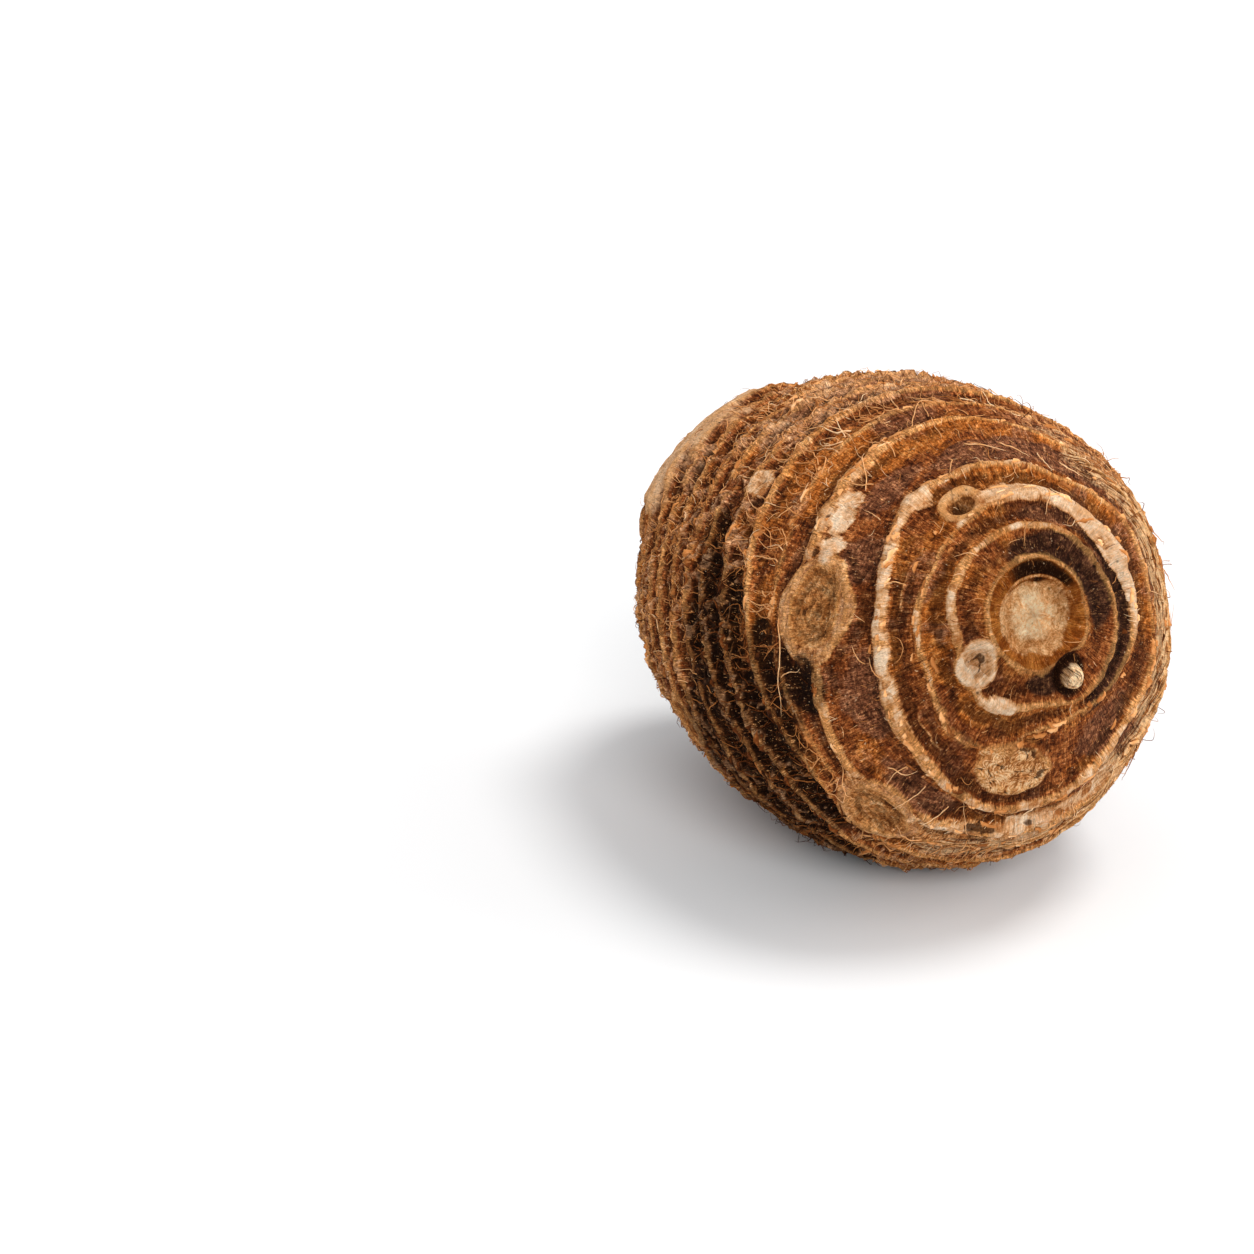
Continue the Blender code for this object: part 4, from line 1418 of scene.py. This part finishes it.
    def lay_wear_and_shade(self):
        """Painted shade in the hollows and low spots, paler gold on the heights that is partly wear and
        partly a painted highlight, the net's pale walls, cracks, and dark stain with a painted shadow in it.
        """
        # Painted shade in the hollows: the net's floors, moats, grooves, the pit's upper wall and the foot of
        # raised edges.
        self.lay(srgb(40, 17, 7), self.zone("hollow_shade", 0.8, 0.3, 0.95, 0, 0.82))
        pale = self.math("MAXIMUM", self.shown_bare, self.times(self.shown_leaves, 0.7))
        for name, share in (("callus", 1), ("pad", 1), ("disc", 1), ("pink", 1), ("scar", 0.45)):
            pale = self.math("MAXIMUM", pale, self.times(self.fields[name], share))
        self.calm = self.step(pale, 0.1, 0.8, 1, 0.38)
        relief_shading = self.fields["relief_shading"]
        # Painted shade on the spots that lie lower than their neighbours.
        low = self.step(self.blend(relief_shading, fine=0.2), 0.16, 0.44, 0.6, 0)
        self.lay(srgb(30, 12, 5), self.times(low, self.calm))
        # Paler gold on the spots that stand above their neighbours, partly wear and partly a painted
        # highlight.
        self.lay(srgb(232, 168, 98), self.step(self.blend(relief_shading, fine=0.3), 0.56, 0.92, 0, 0.32))
        self.lay(self.cork, self.times(self.shown_bare, 0.75))
        lace = self.ramp(self.blend(0.5, mid=1.2, wisps=0.8, fine=0.5), *GREY)
        self.lay(lace, self.zone("lace", 0.7, 0.3, 0.75, 0, 0.9))
        self.lay(srgb(58, 28, 12), self.zone("crack", 0.5, 0.4, 0.8, 0, 0.85))
        # Dark stain with a painted shadow in it of a cut taro half that lay beside the root, lighter on the
        # raised spots.
        rubbed = self.step(self.blend(relief_shading, mid=0.4), 0.5, 0.8, 0.95, 0.6)
        self.lay(srgb(20, 8, 3), self.times(self.zone("stain_and_shadow", 0.8, 0.15, 0.8), rubbed))

    def lay_pit(self):
        """The pit's wall with painted shade on its upper side, the pale disc in it and the bud beside it."""
        pit, hollow_shade = self.fields["pit"], self.fields["hollow_shade"]
        wall = self.ramp(self.blend(0.5, lengthwise=1, mid=0.9), *WALL)
        self.lay(wall, self.step(self.blend(pit, mid=0.3), 0.4, 0.7))
        # Painted shade in the pit, mostly on its upper wall.
        self.lay(srgb(36, 15, 4), self.times(self.zone("hollow_shade", 1, 0.35, 0.8), pit))
        self.lay(self.gold, self.zone("arc", 0.4, 0.3, 0.7))
        tone = self.blend(0.6, curl=0.22, blotch=0.5, mid=1.1, fine=0.7)
        rind = self.ramp(tone, *RIND)
        heart = self.ramp(self.plus(tone, 0.02), *PITH)
        pith = self.mix(rind, heart, self.zone("core", 0.6, 0.1, 0.7))
        self.lay(pith, self.zone("disc", 0.9, 0.3, 0.8))
        # The bud darkens towards a painted shade in its grooves and moat.
        horn = self.mix(self.mix(rind, heart, 0.95), srgb(90, 48, 22), self.step(hollow_shade, 0.2, 0.7, 0, 0.75))
        self.lay(horn, self.zone("bud", 0.4, 0.3, 0.8))

    def lay_grain(self):
        """Pale threads, dark gaps, pores, flecks and a fine shade all over."""
        wisps, fine, mid = [self.patterns[name] for name in ("wisps", "fine", "mid")]
        threads = self.times(self.step(wisps, 0.58, 0.66), self.step(fine, 0.46, 0.6))
        self.lay(srgb(222, 162, 104), self.times(threads, 0.6))
        gaps = self.times(self.step(wisps, 0.42, 0.34), self.step(mid, 0.4, 0.55))
        self.lay(srgb(34, 15, 7), self.times(gaps, 0.45))
        pores = self.step(self.voronoi(self.spot, 430)["Distance"], 0.06, 0.18, 0.8, 0)
        self.lay(srgb(20, 8, 3), self.times(pores, self.step(mid, 0.45, 0.6)))
        self.lay(srgb(240, 206, 164), self.step(self.noise(self.spot, 1400, 2, 0.5), 0.7, 0.76, 0, 0.45))
        shade = self.blend(0.5, fine=1.3, wisps=0.6, swirl=0.08, curl=0.08)
        self.lay(self.step(shade, 0.1, 0.9, 0.56, 1.46), self.calm, "MULTIPLY")
        self.lay(self.step(self.patterns["grit"], 0.3, 0.7, 0.55, 1.45), self.calm, "MULTIPLY")


def skin_material():
    """Bark over orange skin, cork on the rings, pith, scars, painted shade in the hollows, and wear with a
    painted highlight.
    """
    g = Bark()
    g.lay_bark()
    g.lay_scars()
    g.lay_wear_and_shade()
    g.lay_pit()
    g.lay_grain()
    papery = g.times(g.times(g.patterns["ply"], g.fields["layers"]), 0.5)
    relief = g.blend(papery, swirl=0.06, curl=0.05, wisps=0.5, grit=0.4, streaks=0.9, fine=0.4, mid=0.8)
    rough = g.step(g.blend(0.5, mid=1), 0.2, 0.8, 0.6, 0.85)
    return g.finish(g.colour, rough, g.bumped(relief, 1, 0.0009), 0.12)


def thread_material():
    """Dry threads and paper from near black to pale straw, by each one's own tint."""
    g = Graph("taro_thread")
    tint = g.split(g.attribute("tint")["Color"])
    spot = g.coordinates()
    tone = g.plus(tint[0], g.signed(g.noise(spot, 900, 3, 0.6), 0.5), g.times(tint[1], 0.1))
    colour = g.ramp(tone, *THREAD)
    normal = g.bumped(g.noise(spot, 2200, 2), 0.5, 0.0001)
    rough = g.step(g.noise(spot, 500, 2), 0.2, 0.8, 0.55, 0.85)
    return g.finish(colour, rough, normal, 0.15)


def sun_light(name, towards, strength, wide_deg, colour):
    """A soft light from far away, from the side that this direction points to."""
    data = bpy.data.lights.new(name, "SUN")
    data.energy = strength
    data.angle = math.radians(wide_deg)
    data.color = colour
    item = bpy.data.objects.new(name, data)
    item.rotation_mode = "QUATERNION"
    item.rotation_quaternion = Vector(towards).to_track_quat("Z", "Y")
    bpy.context.scene.collection.objects.link(item)
    return item


def build_stage():
    """A white floor, an even white surround, and wide soft lights from above and in front."""
    g = Graph("floor_white")
    white = g.ramp(g.noise(g.coordinates(), 3, 2), (0.3, (217, 218, 220)), (0.7, (219, 220, 222)))
    material = g.finish(white, 0.9)
    side = 4.0
    corners = [(-side, -side, 0), (side, -side, 0), (side, side, 0), (-side, side, 0)]
    new_object("floor", corners, [(0, 1, 2, 3)], material, smooth=False)
    world = bpy.data.worlds.new("studio")
    bpy.context.scene.world = world
    world.use_nodes = True
    background = world.node_tree.nodes["Background"]
    background.inputs["Color"].default_value = (1, 1, 1, 1)
    background.inputs["Strength"].default_value = WORLD
    for light in LIGHTS:
        sun_light(*light)
    bpy.context.scene.view_settings.view_transform = "Standard"


def build_camera():
    pitch, yaw = math.radians(CAMERA_PITCH_DEG), math.radians(CAMERA_YAW_DEG)
    turn = Matrix.Rotation(yaw, 3, "Z")
    right = turn @ Vector((1, 0, 0))
    up = turn @ Vector((0, math.sin(pitch), math.cos(pitch)))
    back = turn @ Vector((0, -math.cos(pitch), math.sin(pitch)))
    spot = Vector(BODY_CENTRE) + CAMERA_RIGHT * right + CAMERA_UP * up + CAMERA_AWAY * back
    data = bpy.data.cameras.new("camera")
    data.lens = LENS
    data.sensor_width = SENSOR
    data.clip_start = 0.01
    item = bpy.data.objects.new("camera", data)
    item.location = spot * MM
    item.rotation_mode = "QUATERNION"
    item.rotation_quaternion = Matrix((right, up, back)).transposed().to_quaternion()
    bpy.context.scene.collection.objects.link(item)
    bpy.context.scene.camera = item


def build():
    thread = thread_material()
    skin = build_skin(skin_material())
    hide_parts("corm")
    pieces = [skin, build_net_walls(thread), build_net_curls(thread)]
    pieces += [build_long_fibres(thread), build_named_fibres(thread)]
    pieces += [build_hairs(thread), build_flakes(thread)]
    pieces += build_fuzz(thread)
    for piece in pieces:
        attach(piece, "root")
    build_stage()
    build_camera()


build()
